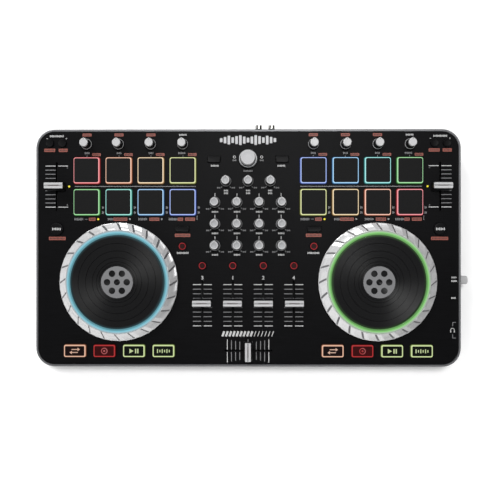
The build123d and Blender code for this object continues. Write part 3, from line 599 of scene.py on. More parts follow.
def pad(name, x, y, colour, body, node, slot):
    pale = dimmed(tint(colour, 0.30), 1.05)
    deep = tuple(c * c * 0.07 for c in colour)
    glow = lit(f"{name}_glow", pale, deep, rise=(PANEL + 0.2, PAD_TOP - 0.7))
    bm = bmesh.new()
    rows = (
        (PAD + 2 * FLANGE_MARGIN, 3.4, FLANGE_BOTTOM, 0),
        (PAD + 2 * FLANGE_MARGIN, 3.4, FLANGE_TOP, 0),
        (PAD, 2.8, FLANGE_TOP, 0),
        (PAD, 2.8, PANEL + 0.3, 0),
        (PAD - 0.4, 2.7, PANEL + 0.6, 0),
        (PAD - 2.1, 2.5, PAD_TOP - 0.7, 0),
        (PAD - 2.5, 2.4, PAD_TOP - 0.25, 0),
        (PAD - 3.6, 2.2, PAD_TOP - 0.05, 0),
        (PAD - 3.9, 2.1, PAD_TOP, 1),
        (PAD - 8.0, 1.6, PAD_TOP, 1),
    )
    stack(bm, x, y, [(row[0], *row) for row in rows])
    stem(bm, x, y)
    write(bm, name, (glow, pad_black), body, (node,), slot, sharp_angle=40)


for (side, row), colours in PAD_COLOURS.items():
    for number, (x, colour) in enumerate(zip(PAD_COLUMNS[side], colours), 1):
        pad(
            f"{side}_{row}_pad_{number}", x, PAD_ROWS[row], colour, f"{side}_pads_pressed", f"{side}_pads",
            f"{side}_pad_light",
        )

# ---------------------------------------------------------------- transport keys

KEY_LENGTH, KEY_WIDTH, KEY_FRAME = 28.3, 16.2, 1.5
KEY_Y = centre_mm("left_transport_buttons").y
KEY_COLOURS = (
    ((0.80, 0.48, 0.34), (0.007, 0.001, 0.001)),
    ((0.44, 0.028, 0.030), (0.045, 0.0008, 0.0015)),
    ((0.63, 0.75, 0.37), (0.001, 0.003, 0.001)),
    ((0.63, 0.75, 0.37), (0.001, 0.003, 0.001)),
)


def sync_icon(bm, x, y, z):
    for sign in (-1, 1):
        bar(bm, x, y + sign * 1.9, 8.0, 1.1, z=z, material=2)
        tip, root = x + sign * 6.6, x + sign * 3.6
        head = [(tip, y + sign * 1.9), (root, y + sign * 4.2), (root, y - sign * 0.4)]
        polygon_plate(bm, head[::sign], z, material=2)


def cue_icon(bm, x, y, z):
    arc_band(bm, x, y, 3.6, 1.1, 0, 359.9, z, material=2, steps=40)
    skin(bm, [circle(1.3, z + h, 24, (x, y)) for h in (0, PRINT_RISE)], (2,))


def play_icon(bm, x, y, z):
    polygon_plate(bm, [(x - 5.6, y + 3.0), (x - 5.6, y - 3.0), (x - 0.4, y)], z, material=2)
    for offset in (2.3, 5.1):
        bar(bm, x + offset, y, 1.6, 5.8, z=z, material=2)


def repeat_icon(bm, x, y, z):
    for i in range(6):
        bar(bm, x - 7.5 + 3 * i, y, 1.3, 5.0 if i % 2 == 0 else 3.2, z=z, material=2)


KEY_ICONS = (sync_icon, cue_icon, play_icon, repeat_icon)


def transport_key(name, x, colour, inside, icon, body, node):
    glow = lit(f"{name}_glow", colour, tuple(c * c * 0.06 for c in colour), rise=(PANEL + 0.6, KEY_TOP - 0.1))
    window = lit(f"{name}_window", inside, dimmed(inside, 0.6), scale=120, unlit=0.003)
    icon_glow = lit(f"{name}_icon", tint(colour, 0.12), colour, strength=0.8)
    bm = bmesh.new()
    frame_in = KEY_FRAME * 2
    rows = (
        (-2 * FLANGE_MARGIN, 3.0, FLANGE_BOTTOM, 0),
        (-2 * FLANGE_MARGIN, 3.0, FLANGE_TOP, 0),
        (0.0, 2.4, FLANGE_TOP, 0),
        (0.0, 2.4, PANEL + 0.4, 0),
        (0.6, 2.2, KEY_TOP - 0.9, 0),
        (1.4, 2.0, KEY_TOP - 0.1, 0),
        (1.9, 1.8, KEY_TOP, 0),
        (frame_in + 0.7, 1.3, KEY_TOP, 0),
        (frame_in + 1.0, 1.2, KEY_TOP - 0.35, 1),
        (frame_in + 4.0, 0.8, KEY_TOP - 0.3, 1),
    )
    stack(bm, x, KEY_Y, [(KEY_LENGTH - inset, KEY_WIDTH - inset, *rest) for inset, *rest in rows])
    icon(bm, x, KEY_Y, KEY_TOP - 0.32)
    stem(bm, x, KEY_Y)
    write(bm, name, (glow, window, icon_glow), body, (node,), "key_light", sharp_angle=35)


for side in DECKS:
    node = f"{side}_transport_buttons"
    for number, (x, colours, icon) in enumerate(zip(row_of(node, KEY_LENGTH, 4), KEY_COLOURS, KEY_ICONS), 1):
        transport_key(f"{side}_transport_key_{number}", x, *colours, icon, f"{node}_pressed", node)

# ---------------------------------------------------------------- round and rectangular buttons


def round_button(bm, x, y, radius, top, dish=0.25, ring=None):
    """A round cap with a soft edge. ring gives it a lit ring of (inner, outer) radius, in material 1."""
    flange = radius + FLANGE_MARGIN
    rows = [(flange, FLANGE_BOTTOM, 0), (flange, FLANGE_TOP, 0), (radius, FLANGE_TOP, 0)]
    rows += [(radius, top - 0.5, 0), (radius - 0.2, top - 0.15, 0), (radius - 0.55, top, 0)]
    if ring:
        inner, outer = ring
        rows += [(outer, top - 0.1, 0), (inner, top - 0.1, 1), (inner - 0.1, top - 0.2, 2)]
        rows += [(inner * 0.6, top - dish, 2), (inner * 0.3, top - dish, 2)]
    else:
        rows += [(radius * 0.7, top - dish * 0.7, 0), (radius * 0.3, top - dish, 0)]
    lathe(bm, rows, 64, (x, y))
    stem(bm, x, y)


def block_button(bm, x, y, length, width, top):
    flange = -2 * FLANGE_MARGIN
    rows = ((flange, 2.2, FLANGE_BOTTOM), (flange, 2.2, FLANGE_TOP), (0, 1.5, FLANGE_TOP))
    rows += ((0, 1.5, top - 0.6), (0.4, 1.4, top - 0.2), (1.2, 1.2, top), (3.0, 0.8, top - 0.12))
    stack(bm, x, y, [(length - inset, width - inset, *rest, 0) for inset, *rest in rows])
    stem(bm, x, y)


def write_caps(bm, kind, materials, slot="button_black"):
    """The caps of one kind of button, which press together."""
    node = f"{kind}_buttons"
    write(bm, f"{kind}_caps", materials, f"{node}_pressed", (node,), slot)


ring_red = lit("ring_red", (0.60, 0.035, 0.045), (0.42, 0.012, 0.018), scale=300)
core_red = lit("core_red", (0.028, 0.001, 0.0012), (0.014, 0.0005, 0.0006), scale=300, unlit=0.004)

PITCH_BEND = [(m.x, m.y) for m in parts_of("pitch_bend_buttons")]
bm = bmesh.new()
for x, y in PITCH_BEND:
    round_button(bm, x, y, 4.9, BUTTON_TOP)
write_caps(bm, "pitch_bend", (button_black,))

LAYER = [(m.x, m.y) for m in parts_of("layer_buttons")]
bm = bmesh.new()
for x, y in LAYER:
    round_button(bm, x, y, 8.0, BUTTON_TOP, dish=0.0)
    strokes(bm, x, y, 11.6, 3.2, pitch=1.9, z=BUTTON_TOP, material=1)
write_caps(bm, "layer", (button_black, print_white))

LOAD_SIZE, SHIFT_SIZE = (16.6, 8.3), (17.9, 7.0)
bm = bmesh.new()
for middle in parts_of("load_and_shift_buttons"):
    size = LOAD_SIZE if middle.y > PAD_ROWS["lower"] else SHIFT_SIZE
    block_button(bm, middle.x, middle.y, *size, BUTTON_TOP)
write_caps(bm, "load_and_shift", (button_black,))

RED_BUTTONS = parts_of("cue_and_scratch_buttons")
SCRATCH = (RED_BUTTONS[0], RED_BUTTONS[-1])
CUE = RED_BUTTONS[1:-1]
CUE_X = [m.x for m in CUE]
bm = bmesh.new()
for middle in RED_BUTTONS:
    round_button(bm, middle.x, middle.y, 4.9, BUTTON_TOP, ring=(3.7, 4.3))
write_caps(bm, "cue_and_scratch", (button_black, ring_red, core_red), "button_red")

# ---------------------------------------------------------------- jog wheels

TEETH = 24
TWIST = 4.5
HUB_RADIUS, BORE_RADIUS = 8.0, 4.05
JOG_RADIUS = (box_mm("left_jog_wheel")[1].x - box_mm("left_jog_wheel")[0].x) / 2
HUB_BOTTOM = box_mm("left_jog_wheel")[0].z
WEB_TOP = box_mm("left_jog_light_ring")[0].z
JOG_BOTTOM = WEB_TOP - 2.8
JOG_SHOULDER = WEB_TOP + 0.4
CREST_RADIUS, WELL_RADIUS = 66.0, 64.75
RING_INNER, RING_OUTER = 59.7, 64.6
RELIEF = 2.6
TOOTH_PROFILE = ((0.0, 0.0), (0.14, 0.85), (0.45, 1.0))
SLOPE_START = 3


def jog_wheel_mesh():
    """The wheel at the origin: slanted scales from the outer edge up to the crest, web and hub."""
    bm = bmesh.new()
    points_round = TEETH * len(TOOTH_PROFILE)
    turns = [(tooth + start) / TEETH for tooth in range(TEETH) for start, _ in TOOTH_PROFILE]
    lifts = [lift for _ in range(TEETH) for _, lift in TOOTH_PROFILE]

    def ring(radius, height, relief=0.0, twist=0.0):
        points = []
        for turn, lift in zip(turns, lifts):
            angle = 2 * math.pi * turn - math.radians(twist)
            points.append((radius * math.cos(angle), radius * math.sin(angle), height - relief * (1 - lift)))
        return points

    slope = (JOG_CREST - JOG_SHOULDER - 0.9) / (JOG_RADIUS - 0.6 - CREST_RADIUS)
    outlines = [ring(JOG_RADIUS - 1.0, JOG_BOTTOM), ring(JOG_RADIUS, JOG_BOTTOM + 0.8)]
    outlines.append(ring(JOG_RADIUS, JOG_SHOULDER))
    bands = 4
    for band in range(bands + 1):
        share = band / bands
        radius = JOG_RADIUS - 0.6 + (CREST_RADIUS - JOG_RADIUS + 0.6) * share
        height = JOG_SHOULDER + 0.9 + (JOG_RADIUS - 0.6 - radius) * slope
        relief = RELIEF * (0.45 + 0.55 * math.sin(math.pi * min(share * 1.2, 0.9)))
        outlines.append(ring(radius, height, relief, TWIST * share))
    outlines += [
        ring(WELL_RADIUS + 0.5, JOG_CREST - 0.1, 0.0, TWIST),
        ring(WELL_RADIUS, JOG_CREST - 0.6, 0.0, TWIST),
        ring(WELL_RADIUS, WEB_TOP),
        ring(BORE_RADIUS, WEB_TOP),
        ring(BORE_RADIUS, HUB_BOTTOM),
        ring(HUB_RADIUS, HUB_BOTTOM),
        ring(HUB_RADIUS, JOG_BOTTOM),
    ]
    skin(bm, outlines, (0,) * len(outlines), close=False)
    # The short steep wall at the start of each scale gets a darker grey: painted shade, put where its shadow
    # would fall.
    for number, face in enumerate(bm.faces):
        band, place = divmod(number, points_round)
        if SLOPE_START <= band < SLOPE_START + bands and place % len(TOOTH_PROFILE) == 0:
            face.material_index = 2
    low, high, rim = 26.0, 27.5, 22.0
    disc = ((HUB_RADIUS, low, 1), (rim, low, 1), (rim, high, 1), (HUB_RADIUS, high, 1))
    lathe(bm, disc, 96, closing=1)
    return bm


def vinyl(name, painted_sheen_angle, painted_sheen, far_share):
    """Black grooved record: fine rings in the bump, and a painted reflection: a soft fan of lighter base
    colour across the disc, by angle round its centre.
    """
    material = principled(name, (0.006, 0.006, 0.0065), roughness=0.42, specular=0.06)
    tree, shader = nodes_of(material)
    position = coordinates(tree)
    split = tree.nodes.new("ShaderNodeSeparateXYZ")
    tree.links.new(position, split.inputs["Vector"])

    def operate(kind, *values):
        node = tree.nodes.new("ShaderNodeMath")
        node.operation = kind
        for socket, value in zip(node.inputs, values):
            if isinstance(value, (int, float)):
                socket.default_value = value
            else:
                tree.links.new(value, socket)
        return node.outputs[0]

    x, y = split.outputs["X"], split.outputs["Y"]
    radius = operate("SQRT", operate("ADD", operate("MULTIPLY", x, x), operate("MULTIPLY", y, y)))
    angle = operate("ARCTAN2", y, x)
    # Painted sheen: the base colour is lifted in a fan along the given angle, and by far_share on the
    # opposite side, in place of a reflection.
    turned = operate("SUBTRACT", angle, math.radians(painted_sheen_angle))
    across = operate("COSINE", turned)
    painted_sheen_fan = operate("POWER", operate("MAXIMUM", across, operate("MULTIPLY", across, -far_share)), 8.0)
    band = operate("MULTIPLY", operate("SINE", operate("MULTIPLY", radius, 2 * math.pi / (1.1 * MM))), 0.5)
    groove = operate("ADD", band, 0.5)
    drift = noise(tree, position, 55.0, detail=3.0)
    lift = operate("MULTIPLY", painted_sheen_fan, operate("ADD", operate("MULTIPLY", drift, 0.6), 0.55))
    lift = operate("MULTIPLY", lift, operate("ADD", operate("MULTIPLY", groove, 0.25), 0.75))
    colour = ramp(tree, lift, [(0.0, (0.0062, 0.0062, 0.0066)), (1.0, (painted_sheen, painted_sheen, painted_sheen))])
    tree.links.new(colour, shader.inputs["Base Color"])
    tree.links.new(spread(tree, groove, 0.34, 0.5), shader.inputs["Roughness"])
    bump(tree, shader, groove, 0.35, distance=0.00012)
    return material


JOG_LIGHTS = {
    "left": ((0.20, 0.53, 0.63), (0.33, 0.57, 0.66)),
    "right": ((0.24, 0.61, 0.18), (0.40, 0.60, 0.37)),
}
# Painted reflection on each record: angle of its fan from +X in degrees, its brightest base colour, and its
# share on the far side.
PAINTED_SHEEN = {"left": (30.0, 0.030, 0.98), "right": (-38.0, 0.050, 0.88)}
GROOVES = (49.0, 39.6, 31.2, 26.0, 22.7)


def plate_rows():
    """Radius, height and material of each step of the plate, from its underside to the spindle recess."""
    edge = RING_INNER - 0.4
    # Materials 1 and 2 near the outer edge carry the painted glow from the lamp ring.
    rows = [(edge - 0.2, WEB_TOP, 0), (edge, WEB_TOP + 0.4, 0), (edge, PLATE_TOP - 0.5, 1)]
    rows += [(edge - 0.35, PLATE_TOP - 0.1, 1), (edge - 1.3, PLATE_TOP, 1), (edge - 2.6, PLATE_TOP, 2)]
    for groove in GROOVES:
        rows += [(groove + 0.3, PLATE_TOP, 0), (groove, PLATE_TOP - 0.5, 0)]
        rows += [(groove - 0.3, PLATE_TOP - 0.5, 0), (groove - 0.6, PLATE_TOP, 0)]
    rows += [(21.4, PLATE_TOP, 0), (4.0, PLATE_TOP, 0), (3.8, PLATE_TOP - 1.1, 0)]
    return rows


def emblem(bm):
    """A plain drilled adapter disc round the spindle hole."""
    outer, inner, holes, hole_radius, hole_ring = 20.0, 3.9, 6, 4.1, 12.4
    step = 48
    low, high = PLATE_TOP, PLATE_TOP + 0.7
    sector = 2 * math.pi / holes
    for h in range(holes):
        centre = h * sector
        hx, hy = hole_ring * math.cos(centre), hole_ring * math.sin(centre)
        angles = [centre + 2 * math.pi * i / step for i in range(step)]
        for radius in (inner, outer):
            for side_angle in (centre - sector / 2, centre + sector / 2):
                corner = math.atan2(radius * math.sin(side_angle) - hy, radius * math.cos(side_angle) - hx)
                gaps = [abs((angle - corner + math.pi) % (2 * math.pi) - math.pi) for angle in angles]
                angles[gaps.index(min(gaps))] = corner
        hole, edge = [], []
        for angle in angles:
            hole.append((hx + hole_radius * math.cos(angle), hy + hole_radius * math.sin(angle)))
            edge.append(sector_point(centre, sector, angle, hx, hy, inner, outer))
        rings = []
        for points, z in ((edge, low), (edge, high), (hole, high), (hole, low)):
            rings.append([bm.verts.new((px, py, z)) for px, py in points])
        for first, second in ((rings[1], rings[2]), (rings[2], rings[3]), (rings[3], rings[0])):
            bridge(bm, first, second, 0)
        outline_walls(bm, rings[0], rings[1], centre, sector)


def sector_point(centre, sector, angle, hx, hy, inner, outer):
    """Where a ray from a hole's centre meets the edge of its sector of the disc."""
    dx, dy = math.cos(angle), math.sin(angle)
    hits = []
    for limit in (inner, outer):
        b, c = hx * dx + hy * dy, hx * hx + hy * hy - limit * limit
        root = b * b - c
        if root >= 0:
            hits += [t for t in (-b - math.sqrt(root), -b + math.sqrt(root)) if t > 0]
    for sign in (-1, 1):
        side_angle = centre + sign * sector / 2
        nx, ny = -math.sin(side_angle), math.cos(side_angle)
        rate = dx * nx + dy * ny
        if abs(rate) > 1e-9:
            t = -(hx * nx + hy * ny) / rate
            if t > 0:
                hits.append(t)
    t = min(hits)
    return hx + dx * t, hy + dy * t


def outline_walls(bm, low_ring, high_ring, centre, sector):
    """Upright walls where a sector meets the disc's outer and inner edges, none between two sectors."""
    count = len(low_ring)
    for i in range(count):
        j = (i + 1) % count
        ends = [math.atan2(high_ring[k].co.y, high_ring[k].co.x) for k in (i, j)]
        off = [abs((a - centre + math.pi) % (2 * math.pi) - math.pi) for a in ends]
        if all(abs(o - sector / 2) < 1e-4 for o in off):
            continue
        bm.faces.new((low_ring[i], low_ring[j], high_ring[j], high_ring[i]))


for side, sign in DECKS.items():
    middle = centre_mm(f"{side}_jog_plate")
    centre = (middle.x, middle.y, 0)
    body = f"{side}_jog"
    write(
        jog_wheel_mesh(), f"{side}_jog_rim", (rim_silver, button_black, rim_painted_shade), body,
        (f"{side}_jog_wheel",), "jog_silver", sharp_angle=5.5, place=centre,
    )
    core, halo = JOG_LIGHTS[side]
    ring_core = lit(f"{side}_ring_core", core, dimmed(core, 0.88), scale=25)
    ring_inner = lit(f"{side}_ring_inner", dimmed(core, 0.62), dimmed(core, 0.5), scale=25)
    ring_halo = lit(f"{side}_ring_halo", halo, dimmed(halo, 0.9), scale=25)
    ring_outer = lit(f"{side}_ring_outer", tint(halo, 0.18), halo, strength=0.72, scale=25)
    bm = bmesh.new()
    segments = 192
    top = box_mm(f"{side}_jog_light_ring")[1].z
    rows = (
        (RING_OUTER, WEB_TOP, 1),
        (RING_OUTER, top - 0.7, 2),
        (RING_OUTER - 0.4, top - 0.1, 2),
        (RING_OUTER - 0.9, top, 2),
        (RING_OUTER - 1.7, top, 1),
        (RING_INNER + 1.7, top, 0),
        (RING_INNER + 0.6, top, 3),
        (RING_INNER + 0.05, top - 0.6, 3),
        (RING_INNER + 0.05, WEB_TOP, 3),
    )
    lathe(bm, rows, segments, closing=1)
    write(
        bm, f"{side}_jog_lamp", (ring_core, ring_halo, ring_outer, ring_inner), body,
        (f"{side}_jog_light_ring",), f"{side}_jog_light", place=centre,
    )
    # Painted light: the record's outer edge glows faintly in the ring's colour, as spill from the lamp ring.
    # The record itself has no lamp.
    painted_spill = [
        lit(f"{side}_plate_{share}", dimmed(core, share), dimmed(core, share * 0.7), scale=25)
        for share in (0.10, 0.035)
    ]
    bm = bmesh.new()
    lathe(bm, plate_rows(), segments)
    write(
        bm, f"{side}_jog_record", (vinyl(f"{side}_vinyl", *PAINTED_SHEEN[side]), *painted_spill), body,
        (f"{side}_jog_plate",), "jog_black", sharp_angle=20, place=centre,
    )
    bm = bmesh.new()
    emblem(bm)
    write(bm, f"{side}_jog_adapter", (emblem_grey,), body, slot="component_black", place=centre)

# ---------------------------------------------------------------- printed marks on the panel

white, grey, red, dark = bmesh.new(), bmesh.new(), bmesh.new(), bmesh.new()
FX_Y = centre_mm("left_fx_knob_1").y
PITCH_X, PITCH_Y = centre_mm("right_pitch_fader").x, centre_mm("right_pitch_fader").y
BEND_Y = PITCH_BEND[0][1]
LAYER_X, LAYER_Y = LAYER[-1]
LOAD, SHIFT = parts_of("load_and_shift_buttons")[-2:]
BROWSE_Y = centre_mm("browse_knob").y
LINE, FINE_LINE, THIN_LINE = 0.9, 0.7, 0.6
LABEL, SMALL_LABEL = 2.6, 2.2
PITCH_TICKS, PITCH_STEP = 11, 5.26
CHANNEL_REST = 3.2
CHANNEL_TICKS, CHANNEL_STEP, CHANNEL_MIDDLE = 10, 5.86, centre_mm("channel_1_fader").y - CHANNEL_REST
UNDER_PAD_Y = PAD_ROWS["lower"] - 21.6
UNDER_PAD_BLOCKS = (((6.6, 8.6),), ((1.8, 18.0),), ((4.4, 13.0),), ((-3.2, 7.0), (9.2, 12.6)))


def red_label(x, y, length, height=4.2):
    """A red block with small dark strokes on it."""
    bar(red, x, y, length, height, corner=0.7)
    strokes(dark, x, y, length - 2.2, height * 0.46, pitch=1.8, z=PANEL + PRINT_RISE)


def plain_label(x, y, length, height=2.4, target=None):
    strokes(target or white, x, y, length, height)


for side, sign in DECKS.items():
    columns = PAD_COLUMNS[side]
    # Effect knob labels, and ticks between knob and pad. The last knob is a filter.
    for number, x in enumerate(columns, 1):
        is_filter = number == 4
        if is_filter:
            plain_label(x, FX_Y + 12.2, 10.0)
            plain_label(x - 1.5, FX_Y - 11.1, 9.5, LABEL, grey)
        else:
            red_label(x, FX_Y + 12.2, 11.6, 3.8)
            plain_label(x, FX_Y - 11.1, 6.4, LABEL, grey)
        red_label(x + 12.0, FX_Y - 13.0, 11.0, 3.6)
        bar(grey, x, FX_Y - 15.0, FINE_LINE, 2.0)
    bar(grey, sign * 144.3, PITCH_Y + 0.1, 155.0, LINE)
    # Labels under the lower pads, each with a lamp.
    for number, x in enumerate(columns, 1):
        plain_label(x - (10.6 if number < 4 else 12.6), UNDER_PAD_Y, 11.5 if number != 2 else 8.0, 3.2, grey)
        if number == 1:
            bar(grey, x - 1.2, UNDER_PAD_Y, 3.4, THIN_LINE)
        for offset, length in UNDER_PAD_BLOCKS[number - 1]:
            red_label(x + offset, UNDER_PAD_Y, length)
        if number == 4:
            bar(grey, x + 18.1, UNDER_PAD_Y + 2.0, FINE_LINE, 6.0)
        for drop in (6.7, 13.1):
            plain_label(x + 20.4, PAD_ROWS["lower"] - drop, 3.0, 3.2, grey)
    # Pitch bend labels and the pitch fader's scale.
    pitch_x = sign * PITCH_X
    plain_label(pitch_x + sign * 0.1, BEND_Y + 9.3, 18.0, LABEL)
    for offset in (-12.4, 12.4):
        bar(white, pitch_x + offset, BEND_Y + 6.2, 1.8, THIN_LINE)
    bar(white, pitch_x + 12.4, BEND_Y + 6.2, THIN_LINE, 1.8)
    left_button, right_button = sorted(x for x, _ in PITCH_BEND if x * sign > 0)
    red_label(left_button - (0 if sign > 0 else 0.6), BEND_Y - 8.7, 14.0)
    red_label(right_button + 0.6, BEND_Y - 8.7, 11.5)
    for step in range(PITCH_TICKS):
        y = PITCH_Y + PITCH_STEP * (step - (PITCH_TICKS - 1) / 2)
        ends = step in (0, PITCH_TICKS - 1)
        bar(white if ends else grey, pitch_x + sign * 8.0, y, 13.0, LINE)
        if ends:
            bar(white, pitch_x - sign * 8.2, y, 12.8, LINE)
            bar(grey, pitch_x - sign * 13.6, y - (2.6 if step else -2.6), 1.8, THIN_LINE)
    lowest = PITCH_Y - PITCH_STEP * (PITCH_TICKS - 1) / 2
    bar(grey, pitch_x - sign * 13.6, lowest + 2.6, THIN_LINE, 1.8)
    # Layer, shift and scratch labels.
    red_label(sign * (LAYER_X - 0.3), LAYER_Y - 12.0, 21.7)
    red_label(sign * (SHIFT.x - 0.5), SHIFT.y - 8.0, 19.8)
    plain_label(sign * (SCRATCH[-1].x - 0.3), SCRATCH[-1].y - 8.6, 15.3, LABEL)
    # Load labels and the signs beside the browse knob.
    plain_label(sign * (LOAD.x - 0.9), LOAD.y - 8.1, 10.2)
    arc_band(white, sign * 17.4, BROWSE_Y + 2.6, 1.5, FINE_LINE, 0, 359.9, PANEL)
    plain_label(sign * 17.4, BROWSE_Y - 1.6, 5.2, 2.0, grey)
plain_label(0, BROWSE_Y - 15.2, 12.0, SMALL_LABEL, grey)

# Gain and equaliser knobs: upright tick above, end marks and labels below.
for name in knob_names:
    if "_fx_" in name:
        continue
    x, y, _ = centre_mm(name)
    for sign in (-1, 1):
        bar(grey, x + sign * 5.6, y - 7.3, 2.2, FINE_LINE, angle=-sign * 45)
        plain_label(x + sign * 9.4, y - 8.2, 4.4, 1.9, grey)
    if name.startswith("eq"):
        bar(white, x, y + 9.8, 0.8, 4.0)
        plain_label(x, y - 11.9, 8.4, 2.3)
    else:
        plain_label(x, y - 11.8, 5.6, SMALL_LABEL)
        plain_label(x, y - 15.3, 5.6, SMALL_LABEL)

# Channel faders: pairs of ticks. The slot itself is an opening in the panel.
for x in CUE_X:
    for step in range(CHANNEL_TICKS):
        y = CHANNEL_MIDDLE + CHANNEL_STEP * (step - (CHANNEL_TICKS - 1) / 2)
        ends = step in (0, CHANNEL_TICKS - 1)
        for sign in (-1, 1):
            bar(white if ends else grey, x + sign * 6.9, y, 10.5, 1.0 if ends else LINE)

# Crossfader: pairs of upright ticks, longest at both ends. Reach above and below, from the middle outwards.
CROSS_Y, CROSS_STEP = centre_mm("crossfader").y, 5.3
CROSS_REACH = ((14.6, 11.8), (11.3, 11.5), (11.5, 11.7), (12.3, 12.6), (13.2, 13.7), (14.4, 15.0))
for step in range(-5, 6):
    up, down = CROSS_REACH[abs(step)]
    target = white if abs(step) == 5 else grey
    for near, end in ((1.4, up), (-1.8, -down)):
        bar(target, CROSS_STEP * step, CROSS_Y + (near + end) / 2, LINE, abs(near - end))

# Socket labels at the right edge, and a headphone sign between brackets.
MIC_Y = centre_mm("mic_level_knob").y
plain_label(262.6, MIC_Y + 3.9, 7.0, SMALL_LABEL)
plain_label(262.6, MIC_Y - 0.7, 7.6, SMALL_LABEL)
plain_label(261.8, MIC_Y - 22.3, 6.0)
PHONES = (260.6, MIC_Y - 63.3)
arc_band(white, *PHONES, 2.4, FINE_LINE, -20, 200, PANEL)
for sign in (-1, 1):
    bar(white, PHONES[0] + sign * 2.3, PHONES[1] - 1.7, 1.3, 2.4)
    bar(grey, PHONES[0] + 0.2, PHONES[1] + sign * 7.6, FINE_LINE, 5.0)
    bar(grey, PHONES[0] + 2.2, PHONES[1] + sign * 10.0, 4.4, FINE_LINE)

for bm, material in ((white, print_white), (grey, print_grey), (red, print_red), (dark, print_dark)):
    write(bm, f"panel_{material.name}", (material,), "chassis", slot="black_panel")

# Channel numbers.
for number, x in zip((3, 1, 2, 4), CUE_X):
    text = bpy.data.curves.new(f"channel_number_{number}", "FONT")
    text.body = str(number)
    text.size = 6.4 * MM
    text.extrude = PRINT_RISE * MM / 2
    text.offset = 0.12 * MM
    text.align_x, text.align_y = "CENTER", "CENTER"
    source = bpy.data.objects.new("number_source", text)
    mesh = bpy.data.meshes.new_from_object(source)
    bpy.data.objects.remove(source)
    mesh.name = f"channel_number_{number}"
    mesh.materials.clear()
    mesh.materials.append(print_white)
    spot = (x, CUE[0].y - 15.7, PANEL + PRINT_RISE / 2)
    put(mesh, f"channel_number_{number}", "chassis", slot="black_panel", place=spot)

# Abstract ornaments in place of the names: a spectrum of bars, and a row of slanted dashes.
bm = bmesh.new()
SPECTRUM = (5, 8, 11, 7, 10, 12.4, 9, 6, 9, 12.4, 10, 7, 11, 8, 5)
for i, tall in enumerate(SPECTRUM):
    bar(bm, 4.9 * (i - 7), FX_Y + 5.4, 3.3, tall, rise=0.12, corner=0.6)
write(bm, "spectrum_ornament", (ornament_silver,), "chassis", slot="silver_frame")
bm = bmesh.new()
for i in range(15):
    bar(bm, 4.5 * (i - 7) - 0.1, CROSS_Y + 21.5, 2.6 if i < 9 else LINE, 7.0, angle=-20, rise=0.1)
write(bm, "dash_ornament", (print_white,), "chassis", slot="black_panel")

# Indicator lamps.
lamp_yellow = lit("lamp_yellow", (0.95, 0.85, 0.08), (0.75, 0.62, 0.02), strength=1.2, scale=500)
lamps_on, lamps_off = bmesh.new(), bmesh.new()


def lamp(bm, x, y, radius=1.25):
    rows = ((1, 0.0), (1, 0.25), (0.85, 0.6), (0.5, 0.85), (0.15, 0.95))
    lathe(bm, [(radius * share, PANEL + height, 0) for share, height in rows], 24, (x, y))


for side, sign in DECKS.items():
    columns = PAD_COLUMNS[side]
    lamp(lamps_on, columns[0] + 14.3, UNDER_PAD_Y)
    lamp(lamps_off, columns[1] + 14.0, UNDER_PAD_Y)
    lamp(lamps_off, columns[2] + 14.0, UNDER_PAD_Y)
    lamp(lamps_on, sign * (PITCH_X - 16.0), PITCH_Y + 0.1)
write(lamps_on, "lamps_lit", (lamp_yellow,), "chassis", slot="key_light")
write(lamps_off, "lamps_unlit", (lamp_grey,), "chassis", slot="component_black")

# ---------------------------------------------------------------- floor, light and camera

FLOOR_SIZE = 40.0
bm = bmesh.new()
bmesh.ops.create_grid(bm, x_segments=1, y_segments=1, size=FLOOR_SIZE)
floor_mesh = bpy.data.meshes.new("floor")
bm.to_mesh(floor_mesh)
bm.free()
floor = bpy.data.objects.new("floor", floor_mesh)
bpy.context.collection.objects.link(floor)
FLOOR_LIFT = 0.05
floor_grey, floor_glow = (0.93, 0.93, 0.93), (1, 1, 1)
floor_white = principled("floor_white", floor_grey, 0.9, specular=0, emission=floor_glow, strength=FLOOR_LIFT)
floor_mesh.materials.append(floor_white)
floor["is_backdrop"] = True

scene = bpy.context.scene
world = bpy.data.worlds.new("studio")
world.use_nodes = True
tree = world.node_tree
background = tree.nodes["Background"]
# A bright surround, brightest at the front, with a dark patch overhead and a dark flag on the right.
direction = tree.nodes.new("ShaderNodeTexCoord").outputs["Generated"]


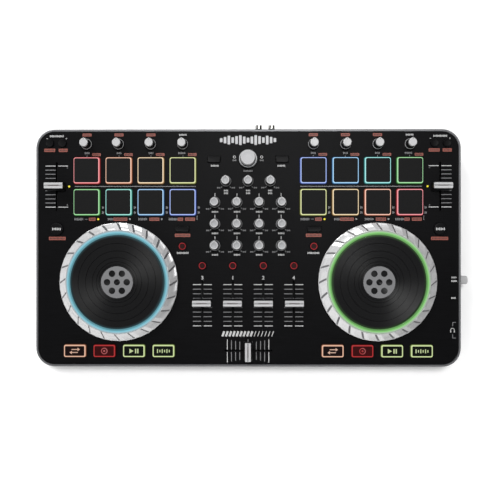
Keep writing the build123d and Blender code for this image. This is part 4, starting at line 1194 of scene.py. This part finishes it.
def towards(axis, stops):
    """Grey levels by how closely a direction lines up with an axis."""
    facing = tree.nodes.new("ShaderNodeVectorMath")
    facing.operation = "DOT_PRODUCT"
    facing.inputs[1].default_value = Vector(axis).normalized()
    tree.links.new(direction, facing.inputs[0])
    return ramp(tree, facing.outputs["Value"], [(position, (grey, grey, grey)) for position, grey in stops])


def product(first, second):
    node = tree.nodes.new("ShaderNodeVectorMath")
    node.operation = "MULTIPLY"
    tree.links.new(first, node.inputs[0])
    tree.links.new(second, node.inputs[1])
    return node.outputs["Vector"]


overhead = towards((-0.05, -0.10, 1), [(0.0, 1.0), (0.78, 1.0), (0.87, 0.6), (0.94, 0.06), (1.0, 0.04)])
flag = towards((1, 0.15, 0), [(0.0, 1.0), (0.25, 0.9), (0.65, 0.12), (1.0, 0.10)])
front = towards((-0.3, -1, 0), [(0.0, 0.45), (0.3, 0.7), (0.85, 1.0)])
tree.links.new(product(product(overhead, flag), front), background.inputs["Color"])
background.inputs["Strength"].default_value = 1.55
scene.world = world


def area_light(name, azimuth, elevation, distance, size, power):
    """A square soft light, at an azimuth from +X and an elevation in degrees, aimed at the object."""
    data = bpy.data.lights.new(name, "AREA")
    data.size, data.energy = size, power
    light = bpy.data.objects.new(name, data)
    bpy.context.collection.objects.link(light)
    flat = distance * math.cos(math.radians(elevation))
    turn = math.radians(azimuth)
    height = distance * math.sin(math.radians(elevation))
    light.location = (flat * math.cos(turn), flat * math.sin(turn), height)
    light.rotation_euler = (-light.location).to_track_quat("-Z", "Y").to_euler()


area_light("top", azimuth=80, elevation=74, distance=2.2, size=0.5, power=30)
area_light("key", azimuth=120, elevation=34, distance=2.5, size=0.7, power=24)

LENS = 40.58
camera_data = bpy.data.cameras.new("camera")
camera_data.lens = LENS
camera = bpy.data.objects.new("camera", camera_data)
bpy.context.collection.objects.link(camera)
# Almost straight above the panel.
camera.location = (0.0069, -0.003, 0.754)
aim = Vector((0.0025, -0.0026, PANEL * MM))
back = (camera.location - aim).normalized()
right = Vector((0, 1, 0)).cross(back).normalized()
camera.rotation_euler = Matrix((right, back.cross(right), back)).transposed().to_euler()
scene.camera = camera
scene.view_settings.view_transform = "Standard"

low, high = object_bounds()
